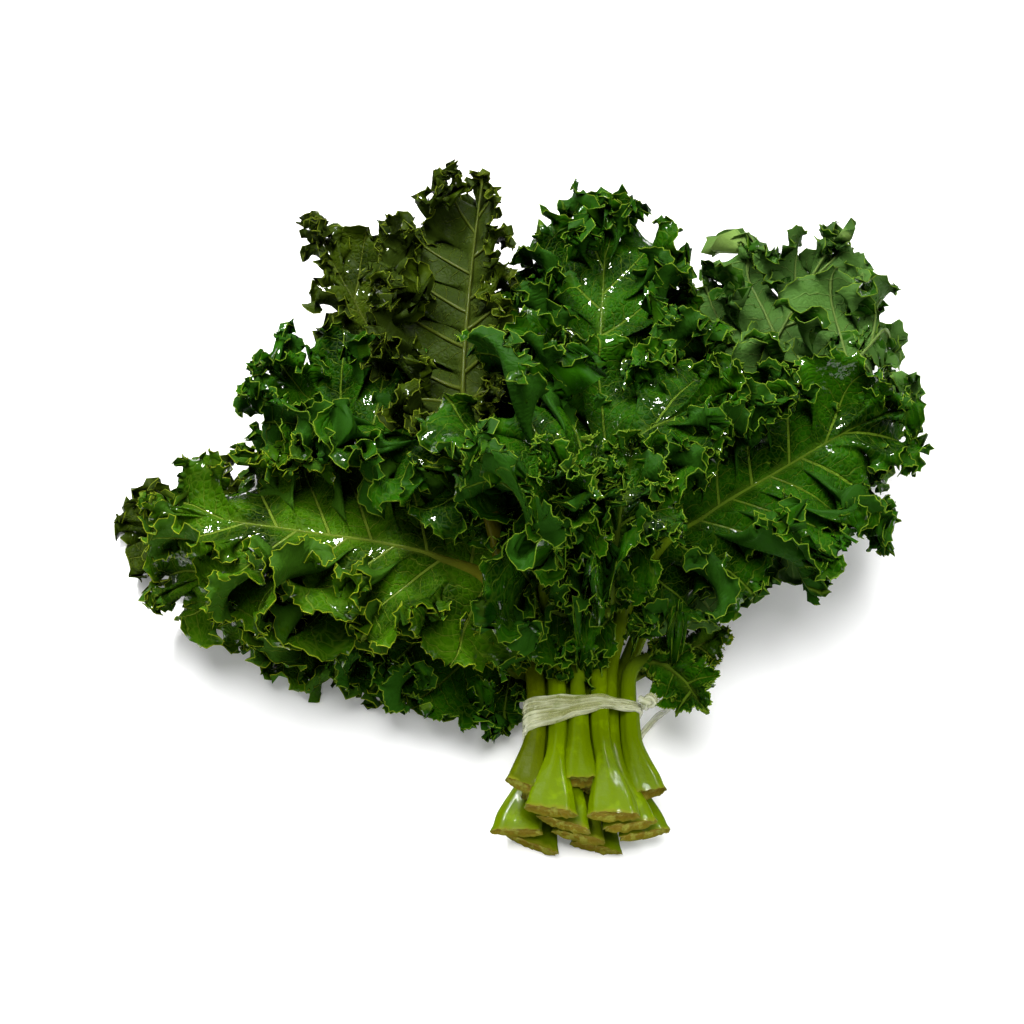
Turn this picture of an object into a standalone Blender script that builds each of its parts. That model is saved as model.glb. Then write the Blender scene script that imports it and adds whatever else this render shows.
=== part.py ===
"""A bunch of curly kale: eighteen cut leaves held by a plastic tie, lying on a surface.

The bunch lies along Y. The cut stem ends point to -Y, the leaf tips to +Y, and Z is up.
Lengths below are in millimetres, and the meshes are made in metres.

Each leaf is one closed solid: a grooved stalk with a flared foot, which turns into a thin blade.
The leaves are laid one on another from the bottom up. Each blade follows a height field that
stays a set distance above the leaves already laid, so that no two of them touch.
"""

import math

import bmesh
import bpy
import numpy as np
from mathutils import Vector

MM = 0.001

# The bundle of stalks inside the tie
STALK_RADIUS = 4.5
STALK_PITCH = 9.4
LOWEST_STALK_Z = 6.6
TIE_HALF_LENGTH = 9.0
TIE_THICKNESS = 1.4
TIE_GAP = 0.3
# What one row of stalks rises to, away from the tie
ROW_RISE = (3.0, 23.0, 47.0, 74.0)
RISE_LENGTH = 70.0
SIDE_SAG = 0.30

# The cut ends
SHORT_CUT = 43.0
LONG_CUT = 58.0
FOOT_LENGTH = 17.0
SHORT_FOOT_WIDTH = 6.5
LONG_FOOT_WIDTH = 10.0
FOOT_DEPTH = 4.6
FOOT_GROOVE = 0.85
END_SPREAD = 0.38
END_LIFT = 0.28

# How the leaves are laid
LAYER_GAP = 13.0
GRID_STEP = 3.0
GRID_X = (-270.0, 200.0)
GRID_Y = (-60.0, 330.0)
SPREAD_CELLS = 4
SETTLE_START = 24.0
SETTLE_END = 50.0
STRAIGHT = 12.5
FAN_LENGTH = 18.0
BLADE_HALF_THICKNESS = 0.8
RIB_SHARE = 0.55
TIP_RADIUS = 1.2
LOWEST_BLADE_Z = 0.80
STATION_STEP = 2.0

# The shift that puts the middle of the bunch's footprint over the origin
CENTRE = (-29.33, 111.66)

# The tie's knot, and the loose loop that hangs from it to the surface and back to the stalks
KNOT_RADIUS = 4.4
KNOT_ANGLE = 40.0
LOOP_DIAMETER = 3.2
LOOP_ROUTE = (
    (4.9, 0.3, -1.3),
    (8.6, 1.6, -4.6),
    (10.6, 4.2, -12.0),
    (9.6, 7.0, -20.0),
    (6.4, 7.6, -26.2),
    (2.6, 4.2, -28.1),
    (-1.6, -1.6, -28.2),
    (-4.6, -7.6, -28.2),
)
LOOP_STEP = 7.0

GREEN_DARK = (0.030, 0.105, 0.012)
GREEN_MID = (0.055, 0.165, 0.018)
GREEN_OLIVE = (0.090, 0.140, 0.020)
GREEN_PALE = (0.150, 0.290, 0.110)
FILM = (0.62, 0.68, 0.45)

# One row for each leaf, from the bottom of the pile to the top. slot is the row and place in the
# tie. The heading turns from near to far, in degrees from +Y towards +X, over the bend length.
# left and right are the blade's half widths, and cup lifts (or drops) its margins. roll tips
# the blade down to its right. droop lowers the tip, and flip shows the underside on top.
LEAVES = (
    dict(name="leaf_01_low_left", slot=(0, -1.5), near=-62, far=-88, bend=70, length=172, start=40,
         left=32, right=44, cup=-7, roll=0.00, droop=0, lobes=5, colour=GREEN_MID),
    dict(name="leaf_02_far_left", slot=(0, -0.5), near=-34, far=-74, bend=60, length=272, start=60,
         left=44, right=50, cup=-7, roll=0.00, droop=4, lobes=6, colour=GREEN_OLIVE),
    dict(name="leaf_03_low_back", slot=(0, 0.5), near=0, far=6, bend=60, length=254, start=50,
         left=58, right=58, cup=-7, roll=0.00, droop=4, lobes=6, colour=GREEN_DARK),
    dict(name="leaf_04_low_right", slot=(0, 1.5), near=56, far=66, bend=40, length=86, start=38,
         left=15, right=13, cup=-6, roll=0.00, droop=0, lobes=3, colour=GREEN_MID),
    dict(name="leaf_05_front_left", slot=(1, -2.0), near=-68, far=-70, bend=60, length=124, start=24,
         left=42, right=34, cup=0, roll=-0.55, droop=8, lobes=4, colour=GREEN_DARK),
    dict(name="leaf_06_left", slot=(1, -1.0), near=-38, far=-96, bend=70, length=216, start=46,
         left=44, right=50, cup=3, roll=-0.15, droop=12, lobes=6, colour=GREEN_MID),
    dict(name="leaf_07_back_left_sprig", slot=(1, 0.0), near=-24, far=-30, bend=70, length=320, start=56,
         left=32, right=46, cup=4, roll=0.00, droop=-36, lobes=6, colour=GREEN_OLIVE),
    dict(name="leaf_08_back_right", slot=(1, 1.0), near=20, far=31, bend=70, length=300, start=54,
         left=54, right=56, cup=4, roll=0.00, droop=-34, lobes=6, colour=GREEN_PALE),
    dict(name="leaf_09_right_pale", slot=(1, 2.0), near=34, far=41, bend=80, length=258, start=50,
         left=52, right=48, cup=3, roll=0.10, droop=-8, lobes=5, colour=GREEN_PALE),
    dict(name="leaf_10_broad_left", slot=(2, -1.5), near=-47, far=-82, bend=70, length=214, start=48,
         left=50, right=52, cup=5, roll=-0.20, droop=10, lobes=6, colour=GREEN_MID),
    dict(name="leaf_11_upper_left", slot=(2, -0.5), near=-26, far=-48, bend=70, length=252, start=50,
         left=50, right=52, cup=5, roll=-0.10, droop=12, lobes=6, colour=GREEN_DARK),
    dict(name="leaf_12_back_centre", slot=(2, 0.5), near=2, far=4, bend=70, length=270, start=48,
         left=54, right=54, cup=6, roll=0.00, droop=-22, lobes=6, colour=GREEN_PALE),
    dict(name="leaf_13_right", slot=(2, 1.5), near=16, far=65, bend=70, length=210, start=48,
         left=50, right=54, cup=4, roll=0.25, droop=14, lobes=6, colour=GREEN_DARK),
    dict(name="leaf_14_small_right", slot=(2, 2.5), near=10, far=176, bend=20, length=72, start=30,
         left=14, right=13, cup=2, roll=0.10, droop=-4, lobes=2, colour=GREEN_DARK),
    dict(name="leaf_15_tall_folded", slot=(3, -2.0), near=-61, far=6, bend=52, length=274, start=96,
         left=48, right=22, cup=4, roll=-0.15, droop=-14, lobes=6, colour=GREEN_OLIVE),
    dict(name="leaf_16_front_centre", slot=(3, -1.0), near=-46, far=78, bend=60, length=172, start=30,
         left=64, right=48, cup=3, roll=0.20, droop=8, lobes=6, colour=GREEN_DARK),
    dict(name="leaf_17_short_front", slot=(3, 1.0), near=22, far=2, bend=50, length=82, start=34,
         left=27, right=25, cup=3, roll=-0.10, droop=16, lobes=3, colour=GREEN_DARK),
    dict(name="leaf_18_small_front", slot=(3, 0.0), near=-6, far=-52, bend=40, length=56, start=24,
         left=31, right=33, cup=2, roll=-0.10, droop=22, lobes=3, colour=GREEN_DARK),
)


def smoothstep(low, high, value):
    t = np.clip((value - low) / (high - low), 0.0, 1.0)
    return t * t * (3.0 - 2.0 * t)


def smooth_max(a, b, width):
    return 0.5 * (a + b + np.sqrt((a - b) ** 2 + width * width))


def slot_place(leaf):
    """Where a stalk runs through the tie: x and z of its middle."""
    row, place = leaf["slot"]
    return place * STALK_PITCH, LOWEST_STALK_Z + row * STALK_PITCH * math.sqrt(0.75)


def plan_path(leaf):
    """Distances along a leaf from the tie, with its plan points and headings."""
    x0, _ = slot_place(leaf)
    a = np.arange(0.0, leaf["length"] + STATION_STEP, STATION_STEP)
    turn = np.exp(-np.maximum(a - STRAIGHT, 0.0) / leaf["bend"])
    heading = np.radians(leaf["far"] + (leaf["near"] - leaf["far"]) * turn)
    heading *= smoothstep(STRAIGHT * 0.5, STRAIGHT + FAN_LENGTH, a)
    x = x0 + np.concatenate([[0.0], np.cumsum(np.sin(heading[:-1]) * STATION_STEP)])
    y = np.concatenate([[0.0], np.cumsum(np.cos(heading[:-1]) * STATION_STEP)])
    return a, x, y, heading


def half_width(leaf, a, side):
    """The blade's half width at a distance from the tie, on the left (-1) or the right (+1)."""
    s = np.clip((a - leaf["start"]) / (leaf["length"] - leaf["start"]), 0.0, 1.0)
    body = np.sin(math.pi * s**1.15) ** 0.7
    shift = 0.25 if side > 0 else 0.0
    lobes = 1.0 - 0.16 * (1.0 - np.cos(2.0 * math.pi * (leaf["lobes"] * s + shift)))
    width = leaf["right"] if side > 0 else leaf["left"]
    return width * body * lobes


def stalk_radius(leaf, a):
    share = np.clip(a / leaf["length"], 0.0, 1.0)
    return TIP_RADIUS + (STALK_RADIUS - TIP_RADIUS) * (1.0 - share) ** 1.2


def grid_axes():
    return np.arange(*GRID_X, GRID_STEP), np.arange(*GRID_Y, GRID_STEP)


def widest_near(field, cells):
    """The highest value within some cells of each place of a grid."""
    best = field
    for axis in (0, 1):
        stack = [np.roll(best, k, axis) for k in range(-cells, cells + 1)]
        best = np.max(stack, axis=0)
    return best


def blurred(field, cells):
    for axis in (0, 1):
        stack = [np.roll(field, k, axis) for k in range(-cells, cells + 1)]
        field = np.mean(stack, axis=0)
    return field


def row_height(leaf, x, y):
    """How high a leaf's own row carries it, at a plan point."""
    x0, z0 = slot_place(leaf)
    away = np.maximum(np.hypot(x - x0, y) - STRAIGHT, 0.0)
    rise = ROW_RISE[leaf["slot"][0]] * (1.0 - np.exp(-away / RISE_LENGTH))
    sideways = (x / np.maximum(np.hypot(x, y), 1.0)) ** 2
    return z0 + rise * (1.0 - SIDE_SAG * sideways * smoothstep(60.0, 140.0, away))


def leaf_coordinates(leaf, x, y):
    """The nearest distance along a leaf, and how far to its right, of plan points."""
    a, px, py, heading = plan_path(leaf)
    flat_x, flat_y = np.ravel(x), np.ravel(y)
    near = np.argmin((flat_x[:, None] - px) ** 2 + (flat_y[:, None] - py) ** 2, axis=1)
    side = (flat_x - px[near]) * np.cos(heading[near]) - (flat_y - py[near]) * np.sin(heading[near])
    return a[near].reshape(np.shape(x)), side.reshape(np.shape(x))


def lay_leaves(leaves):
    """One height field for each leaf, each clear above those laid before it."""
    gx, gy = grid_axes()
    x, y = np.meshgrid(gx, gy, indexing="ij")
    pile = np.zeros_like(x) - LAYER_GAP
    fields = {}
    for leaf in leaves:
        x0, _ = slot_place(leaf)
        a, b = leaf_coordinates(leaf, x, y)
        own = row_height(leaf, x, y)
        own = own - leaf["droop"] * smoothstep(0.5 * leaf["length"], leaf["length"], a)
        width = np.where(b > 0, half_width(leaf, a, 1), half_width(leaf, a, -1))
        open_part = smoothstep(leaf["start"], leaf["start"] + 30.0, a)
        share = np.clip(np.abs(b) / np.maximum(width, 6.0), 0.0, 1.3)
        bend = -leaf["roll"] * np.clip(b, -60.0, 60.0) + leaf["cup"] * share**1.6
        own = own + bend * open_part
        clear = blurred(blurred(widest_near(pile, SPREAD_CELLS), 2), 2) + LAYER_GAP
        settled = smooth_max(own, clear, 6.0)
        away = np.hypot(x - x0, y)
        free = smoothstep(SETTLE_START, SETTLE_END, away)
        height = own * (1.0 - free) + settled * free
        height = np.maximum(height, LOWEST_BLADE_Z)
        fields[leaf["name"]] = height
        reach = np.maximum(width, stalk_radius(leaf, a)) + GRID_STEP
        covered = (np.abs(b) < reach) & (y > 0.0)
        top = height + np.where(np.abs(b) < stalk_radius(leaf, a), stalk_radius(leaf, a), 1.0)
        pile = np.where(covered, np.maximum(pile, top), pile)
    return fields


def height_at(field, x, y):
    """A height field read between its grid points."""
    u = np.clip((np.asarray(x, float) - GRID_X[0]) / GRID_STEP, 0.0, field.shape[0] - 1.001)
    v = np.clip((np.asarray(y, float) - GRID_Y[0]) / GRID_STEP, 0.0, field.shape[1] - 1.001)
    i, j = u.astype(int), v.astype(int)
    fu, fv = u - i, v - j
    low = field[i, j] * (1.0 - fu) + field[i + 1, j] * fu
    high = field[i, j + 1] * (1.0 - fu) + field[i + 1, j + 1] * fu
    return low * (1.0 - fv) + high * fv


def is_long(leaf):
    """Every second stalk of a row was cut longer, and its wide foot clears its neighbours."""
    row, place = leaf["slot"]
    return int(place + 8.0 + row // 2) % 2 == 0


def cut_end(leaf):
    """How far below the tie a stalk was cut."""
    row, place = leaf["slot"]
    return (LONG_CUT if is_long(leaf) else SHORT_CUT) + 2.0 * math.sin(2.3 * place + 1.9 * row)


def section_ring(leaf, a, point, heading, field):
    """Twelve points around a leaf at one place along it."""
    around = np.pi * np.arange(12) / 6.0
    across, up = -np.cos(around), np.sin(around)
    x, y, z = point
    right = np.array([math.cos(heading), -math.sin(heading)])
    radius = stalk_radius(leaf, a)
    wide, deep = radius, radius
    if a < 0.0:
        foot = smoothstep(cut_end(leaf) - FOOT_LENGTH, cut_end(leaf), -a)
        widest = LONG_FOOT_WIDTH if is_long(leaf) else SHORT_FOOT_WIDTH
        wide = STALK_RADIUS + (widest - STALK_RADIUS) * foot
        deep = STALK_RADIUS + (FOOT_DEPTH - STALK_RADIUS) * foot
        up = np.where(up > 0.0, up - FOOT_GROOVE * foot * up**3, up)
    stalk = np.stack([x + across * wide * right[0], y + across * wide * right[1], z + up * deep], axis=1)
    opened = float(smoothstep(leaf["start"], leaf["start"] + 26.0, a))
    if opened <= 0.0:
        return stalk
    width = np.where(across > 0, half_width(leaf, a, 1), half_width(leaf, a, -1))
    width = np.maximum(width, radius)
    bx, by = x + across * width * right[0], y + across * width * right[1]
    thick = np.where(np.abs(across) < 0.1, max(radius * RIB_SHARE, 1.0), BLADE_HALF_THICKNESS)
    thick = np.where(np.abs(across) > 0.99, 0.0, thick)
    blade = np.stack([bx, by, height_at(field, bx, by) + np.sign(np.round(up, 6)) * thick], axis=1)
    return stalk * (1.0 - opened) + blade * opened


def leaf_rings(leaf, field):
    """The sections of one leaf, from its cut end to its tip."""
    x0, z0 = slot_place(leaf)
    rings = []
    cut = cut_end(leaf)
    for a in (-cut, -cut + 4.0, -cut + 8.0, -cut + 13.0, -cut + 18.0, -cut + 27.0, -TIE_HALF_LENGTH - 3.0):
        spread = smoothstep(0.0, LONG_CUT, -a - TIE_HALF_LENGTH)
        above_lowest = (z0 - LOWEST_STALK_Z) * (1.0 + END_LIFT * spread)
        z = above_lowest + FOOT_DEPTH + (LOWEST_STALK_Z - FOOT_DEPTH) * (1.0 - spread)
        rings.append(section_ring(leaf, a, (x0 * (1.0 + END_SPREAD * spread), a, z), 0.0, field))
    path_a, px, py, heading = plan_path(leaf)
    first = STRAIGHT
    steps = max(8, int((leaf["length"] - first) / 9.0))
    for a in np.linspace(first, leaf["length"] - 1.0, steps):
        x, y = np.interp(a, path_a, px), np.interp(a, path_a, py)
        z = float(height_at(field, x, y))
        turn = float(np.interp(a, path_a, heading))
        rings.append(section_ring(leaf, a, (x, y, z), turn, field))
    return rings


def mesh_object(name, mesh, colour, roughness, collection):
    material = bpy.data.materials.new(name)
    material.use_nodes = True
    shader = material.node_tree.nodes["Principled BSDF"]
    shader.inputs["Base Color"].default_value = (*colour, 1.0)
    shader.inputs["Roughness"].default_value = roughness
    shader.inputs["Metallic"].default_value = 0.0
    mesh.materials.append(material)
    thing = bpy.data.objects.new(name, mesh)
    collection.objects.link(thing)
    return thing


def loft(name, rings, closed=False):
    """A closed skin through rings of equal count, with flat ends, or joined into a loop."""
    mesh = bpy.data.meshes.new(name)
    skin = bmesh.new()
    rows = []
    for ring in rings:
        rows.append([skin.verts.new(to_metres(point)) for point in ring])
    count = len(rows[0])
    pairs = list(zip(rows, rows[1:]))
    if closed:
        pairs.append((rows[-1], rows[0]))
    for one, two in pairs:
        for k in range(count):
            n = (k + 1) % count
            skin.faces.new((one[k], one[n], two[n], two[k]))
    if not closed:
        skin.faces.new(rows[0])
        skin.faces.new(rows[-1])
    bmesh.ops.recalc_face_normals(skin, faces=skin.faces)
    bmesh.ops.triangulate(skin, faces=skin.faces)
    for face in skin.faces:
        face.smooth = True
    skin.to_mesh(mesh)
    skin.free()
    return mesh


def to_metres(point):
    return Vector(((point[0] - CENTRE[0]) * MM, (point[1] - CENTRE[1]) * MM, point[2] * MM))


def bundle_outline(leaves, offset, count=48):
    """The taut outline around the stalks in the tie, moved out by an offset."""
    middles = np.array([slot_place(leaf) for leaf in leaves])
    outline = []
    for k in range(count):
        angle = 2.0 * math.pi * k / count
        out = np.array([math.cos(angle), math.sin(angle)])
        outermost = middles[np.argmax(middles @ out)]
        outline.append(outermost + out * (STALK_RADIUS + offset))
    return np.array(outline)


def tie_wrap_mesh(leaves):
    inner = bundle_outline(leaves, TIE_GAP)
    outer = bundle_outline(leaves, TIE_GAP + TIE_THICKNESS)
    rings = []
    for (xi, zi), (xo, zo) in zip(inner, outer):
        rings.append([
            (xi, -TIE_HALF_LENGTH, zi),
            (xi, TIE_HALF_LENGTH, zi),
            (xo, TIE_HALF_LENGTH - 1.5, zo),
            (xo, -TIE_HALF_LENGTH + 1.5, zo),
        ])
    return loft("tie_wrap", rings, closed=True)


def knot_place(leaves):
    """The knot's middle, on the upper right of the tie."""
    angle = math.radians(KNOT_ANGLE)
    out = np.array([math.cos(angle), math.sin(angle)])
    middles = np.array([slot_place(leaf) for leaf in leaves])
    reach = STALK_RADIUS + TIE_GAP + TIE_THICKNESS + TIE_GAP + KNOT_RADIUS
    x, z = middles[np.argmax(middles @ out)] + out * reach
    return np.array([x, 1.0, z])


def make_knot(leaves, collection):
    mesh = bpy.data.meshes.new("tie_knot")
    ball = bmesh.new()
    bmesh.ops.create_uvsphere(ball, u_segments=14, v_segments=8, radius=KNOT_RADIUS * MM)
    bmesh.ops.translate(ball, verts=ball.verts, vec=to_metres(knot_place(leaves)))
    for face in ball.faces:
        face.smooth = True
    ball.to_mesh(mesh)
    ball.free()
    return mesh_object("tie_knot", mesh, FILM, 0.25, collection)


def smooth_route(points, step):
    """Points about one step apart on a smooth curve through the given points."""
    points = np.array(points, float)
    padded = np.vstack([2 * points[0] - points[1], points, 2 * points[-1] - points[-2]])
    fine = []
    for p0, p1, p2, p3 in zip(padded, padded[1:], padded[2:], padded[3:]):
        for t in np.linspace(0.0, 1.0, 12, endpoint=False):
            fine.append(0.5 * (2 * p1 + (p2 - p0) * t + (2 * p0 - 5 * p1 + 4 * p2 - p3) * t**2
                               + (3 * p1 - p0 - 3 * p2 + p3) * t**3))
    fine = np.array(fine + [points[-1]])
    along = np.concatenate([[0.0], np.cumsum(np.linalg.norm(np.diff(fine, axis=0), axis=1))])
    at = np.linspace(0.0, along[-1], max(2, round(along[-1] / step) + 1))
    return np.stack([np.interp(at, along, fine[:, k]) for k in range(3)], axis=1)


def make_loop(leaves, collection):
    """The loose end of the tie: a limp strand that lies down beside the stalks."""
    route = smooth_route(np.array(LOOP_ROUTE) + knot_place(leaves), LOOP_STEP)
    curve = bpy.data.curves.new("tie_loop", "CURVE")
    curve.dimensions = "3D"
    curve.bevel_depth = LOOP_DIAMETER / 2.0 * MM
    curve.bevel_resolution = 2
    curve.use_fill_caps = True
    strand = curve.splines.new("POLY")
    strand.points.add(len(route) - 1)
    for point, place in zip(strand.points, route):
        point.co = (*to_metres(place), 1.0)
    return mesh_object("tie_loop", curve, FILM, 0.25, collection)


def main():
    for thing in list(bpy.data.objects):
        bpy.data.objects.remove(thing, do_unlink=True)
    bunch = bpy.data.collections.new("kale_bunch")
    bpy.context.scene.collection.children.link(bunch)

    fields = lay_leaves(LEAVES)
    for leaf in LEAVES:
        rings = leaf_rings(leaf, fields[leaf["name"]])
        mesh_object(leaf["name"], loft(leaf["name"], rings), leaf["colour"], 0.45, bunch)

    mesh_object("tie_wrap", tie_wrap_mesh(LEAVES), FILM, 0.25, bunch)
    make_knot(LEAVES, bunch)
    make_loop(LEAVES, bunch)


main()
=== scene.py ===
# %% [markdown]
# # A bunch of curly kale
# Eighteen kale leaves are held by a strip of clear plastic and lie on a pale table.
# The solid parts of the bunch were made first and are loaded here as a fixed frame.
# Every leaf is then grown again at full detail over its plain solid: a stalk, a midrib with
# side veins, and a blade that has far more edge than it has room for, so that it frills.

# %% Loading the frame
import math

import bpy
import numpy as np
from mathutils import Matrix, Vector


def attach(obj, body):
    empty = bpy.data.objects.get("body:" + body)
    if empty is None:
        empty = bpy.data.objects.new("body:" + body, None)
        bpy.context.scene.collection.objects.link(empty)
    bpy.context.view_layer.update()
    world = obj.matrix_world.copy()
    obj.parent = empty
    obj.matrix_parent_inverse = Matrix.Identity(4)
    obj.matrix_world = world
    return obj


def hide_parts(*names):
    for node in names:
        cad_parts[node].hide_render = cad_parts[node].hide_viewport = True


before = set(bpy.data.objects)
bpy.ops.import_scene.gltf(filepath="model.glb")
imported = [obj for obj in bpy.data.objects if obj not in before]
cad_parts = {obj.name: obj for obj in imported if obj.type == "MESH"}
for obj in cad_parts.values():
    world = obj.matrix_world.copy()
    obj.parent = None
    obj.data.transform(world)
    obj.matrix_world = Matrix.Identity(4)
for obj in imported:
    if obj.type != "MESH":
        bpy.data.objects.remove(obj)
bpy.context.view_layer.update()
MM = 0.001
TURN = 2.0 * math.pi

# %% [markdown]
# ## The camera
# The bunch lies down, with the cut stalks towards us. A person who stands at the table looks
# down on it, so the camera is above the stalk end. A fairly long lens keeps the leaves at the
# far side from shrinking.

# %% Camera
VIEW_HEIGHT_ANGLE = math.radians(52.0)
VIEW_DISTANCE = 0.833
LENS = 60.0
VIEW_TARGET = Vector((-0.001, -0.0118, 0.045))

view_camera = bpy.data.cameras.new("table_camera")
view_camera.lens = LENS
view_camera.sensor_width = 36.0
camera = bpy.data.objects.new("table_camera", view_camera)
bpy.context.scene.collection.objects.link(camera)
back = Vector((0.0, -math.cos(VIEW_HEIGHT_ANGLE), math.sin(VIEW_HEIGHT_ANGLE)))
camera.location = VIEW_TARGET + back * VIEW_DISTANCE
camera.rotation_euler = back.to_track_quat("Z", "Y").to_euler()
bpy.context.scene.camera = camera
print("camera at", tuple(round(v, 3) for v in camera.location))

# %% [markdown]
# ## Light
# Kale is waxy and wet, so it shows two things: its own green, and small bright glints. Each big
# lamp is therefore made twice, at the same place. One lights the leaves and can't be seen in
# their gloss. The other is only seen in the gloss, so it makes the glints and nothing else. A
# soft light overhead keeps the table white and leaves a faint shadow.

# %% Light
LIT_POINT = Vector((0.0, 0.0, 0.05))
WINDOW_PLACE = (-0.32, 0.42, 1.05)
FAR_PLACE = (0.42, 0.75, 0.95)


def soft_lamp(name, place, size, watts, shine=False):
    """A square soft box that faces the bunch. It lights the leaves, or only makes their glints."""
    lamp = bpy.data.lights.new(name, "AREA")
    lamp.shape = "SQUARE"
    lamp.size = size
    lamp.energy = watts
    holder = bpy.data.objects.new(name, lamp)
    holder.location = place
    holder.rotation_euler = (Vector(place) - LIT_POINT).to_track_quat("Z", "Y").to_euler()
    holder.visible_glossy = shine
    holder.visible_diffuse = not shine
    bpy.context.scene.collection.objects.link(holder)


soft_lamp("window_lamp", WINDOW_PLACE, 0.18, 14.5)
soft_lamp("window_shine", WINDOW_PLACE, 0.24, 84.0, shine=True)
soft_lamp("far_lamp", FAR_PLACE, 0.15, 3.0)
soft_lamp("far_shine", FAR_PLACE, 0.19, 33.0, shine=True)
soft_lamp("right_lamp", (1.0, -0.5, 0.9), 0.8, 6.0)
soft_lamp("left_lamp", (-1.1, -0.5, 0.7), 0.8, 3.0)

ceiling = bpy.data.objects.new("ceiling_light", bpy.data.lights.new("ceiling_light", "SUN"))
ceiling.data.energy = 3.1
ceiling.data.angle = math.radians(38.0)
ceiling.visible_glossy = False
bpy.context.scene.collection.objects.link(ceiling)

room = bpy.data.worlds.new("pale_room")
room.use_nodes = True
room.node_tree.nodes["Background"].inputs["Color"].default_value = (1.0, 1.0, 1.0, 1.0)
room.node_tree.nodes["Background"].inputs["Strength"].default_value = 0.16
bpy.context.scene.world = room
room.cycles_visibility.glossy = False
bpy.context.scene.view_settings.view_transform = "Standard"

# %% [markdown]
# ## Table
# The bunch lies on a plain matt table that is nearly white. A white table in a bright room also
# glows a little, because light comes back from all round it. A weak glow of the table's own
# stands in for that, which is simpler than walls to bounce the light.

# %% Table
TABLE_PAINT = {
    "Base Color": (0.9, 0.9, 0.9, 1.0),
    "Roughness": 0.9,
    "Emission Color": (1.0, 1.0, 1.0, 1.0),
    "Emission Strength": 0.15,
}

bpy.ops.mesh.primitive_plane_add(size=8.0, location=(0.0, 0.0, 0.0))
table = bpy.context.object
table.name = "table_top"
table_paint = bpy.data.materials.new("table_white")
table_paint.use_nodes = True
for socket, value in TABLE_PAINT.items():
    table_paint.node_tree.nodes["Principled BSDF"].inputs[socket].default_value = value
table.data.materials.append(table_paint)
print("table:", tuple(round(v, 1) for v in table.dimensions), "m")

# %% [markdown]
# ## Sizes
# The solid parts were made to these sizes, in millimetres, and the detailed leaves have to meet
# them. They are stated once here, and what follows is worked out from them.

# %% Sizes shared with the solid parts
STALK_RADIUS = 4.5
STALK_PITCH = 9.4
LOWEST_STALK_Z = 6.6
TIE_HALF_LENGTH = 9.0
TIE_THICKNESS = 1.4
TIE_GAP = 0.3
ROW_RISE = (3.0, 23.0, 47.0, 74.0)
RISE_LENGTH = 70.0
SIDE_SAG = 0.30
SHORT_CUT = 43.0
LONG_CUT = 58.0
FOOT_LENGTH = 17.0
SHORT_FOOT_WIDTH = 6.5
LONG_FOOT_WIDTH = 10.0
FOOT_DEPTH = 4.6
END_LIFT = 0.28
LAYER_GAP = 13.0
GRID_STEP = 3.0
GRID_X = (-270.0, 200.0)
GRID_Y = (-60.0, 330.0)
SPREAD_CELLS = 4
SETTLE_START = 24.0
SETTLE_END = 50.0
STRAIGHT = 12.5
FAN_LENGTH = 18.0
TIP_RADIUS = 1.2
LOWEST_BLADE_Z = 0.80
STATION_STEP = 2.0
CENTRE = (-29.33, 111.66)

# %% [markdown]
# ## The leaves
# In a real bunch no two leaves are alike. Each one here has a row and a place in the tie, a
# heading that turns from near to far as it leaves the tie, a length, and half widths to its left
# and right. The rest are its habits, with usual values for a plain leaf. Rays says how finely
# its blade is divided. The leaves are in the order in which they were laid down.

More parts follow.
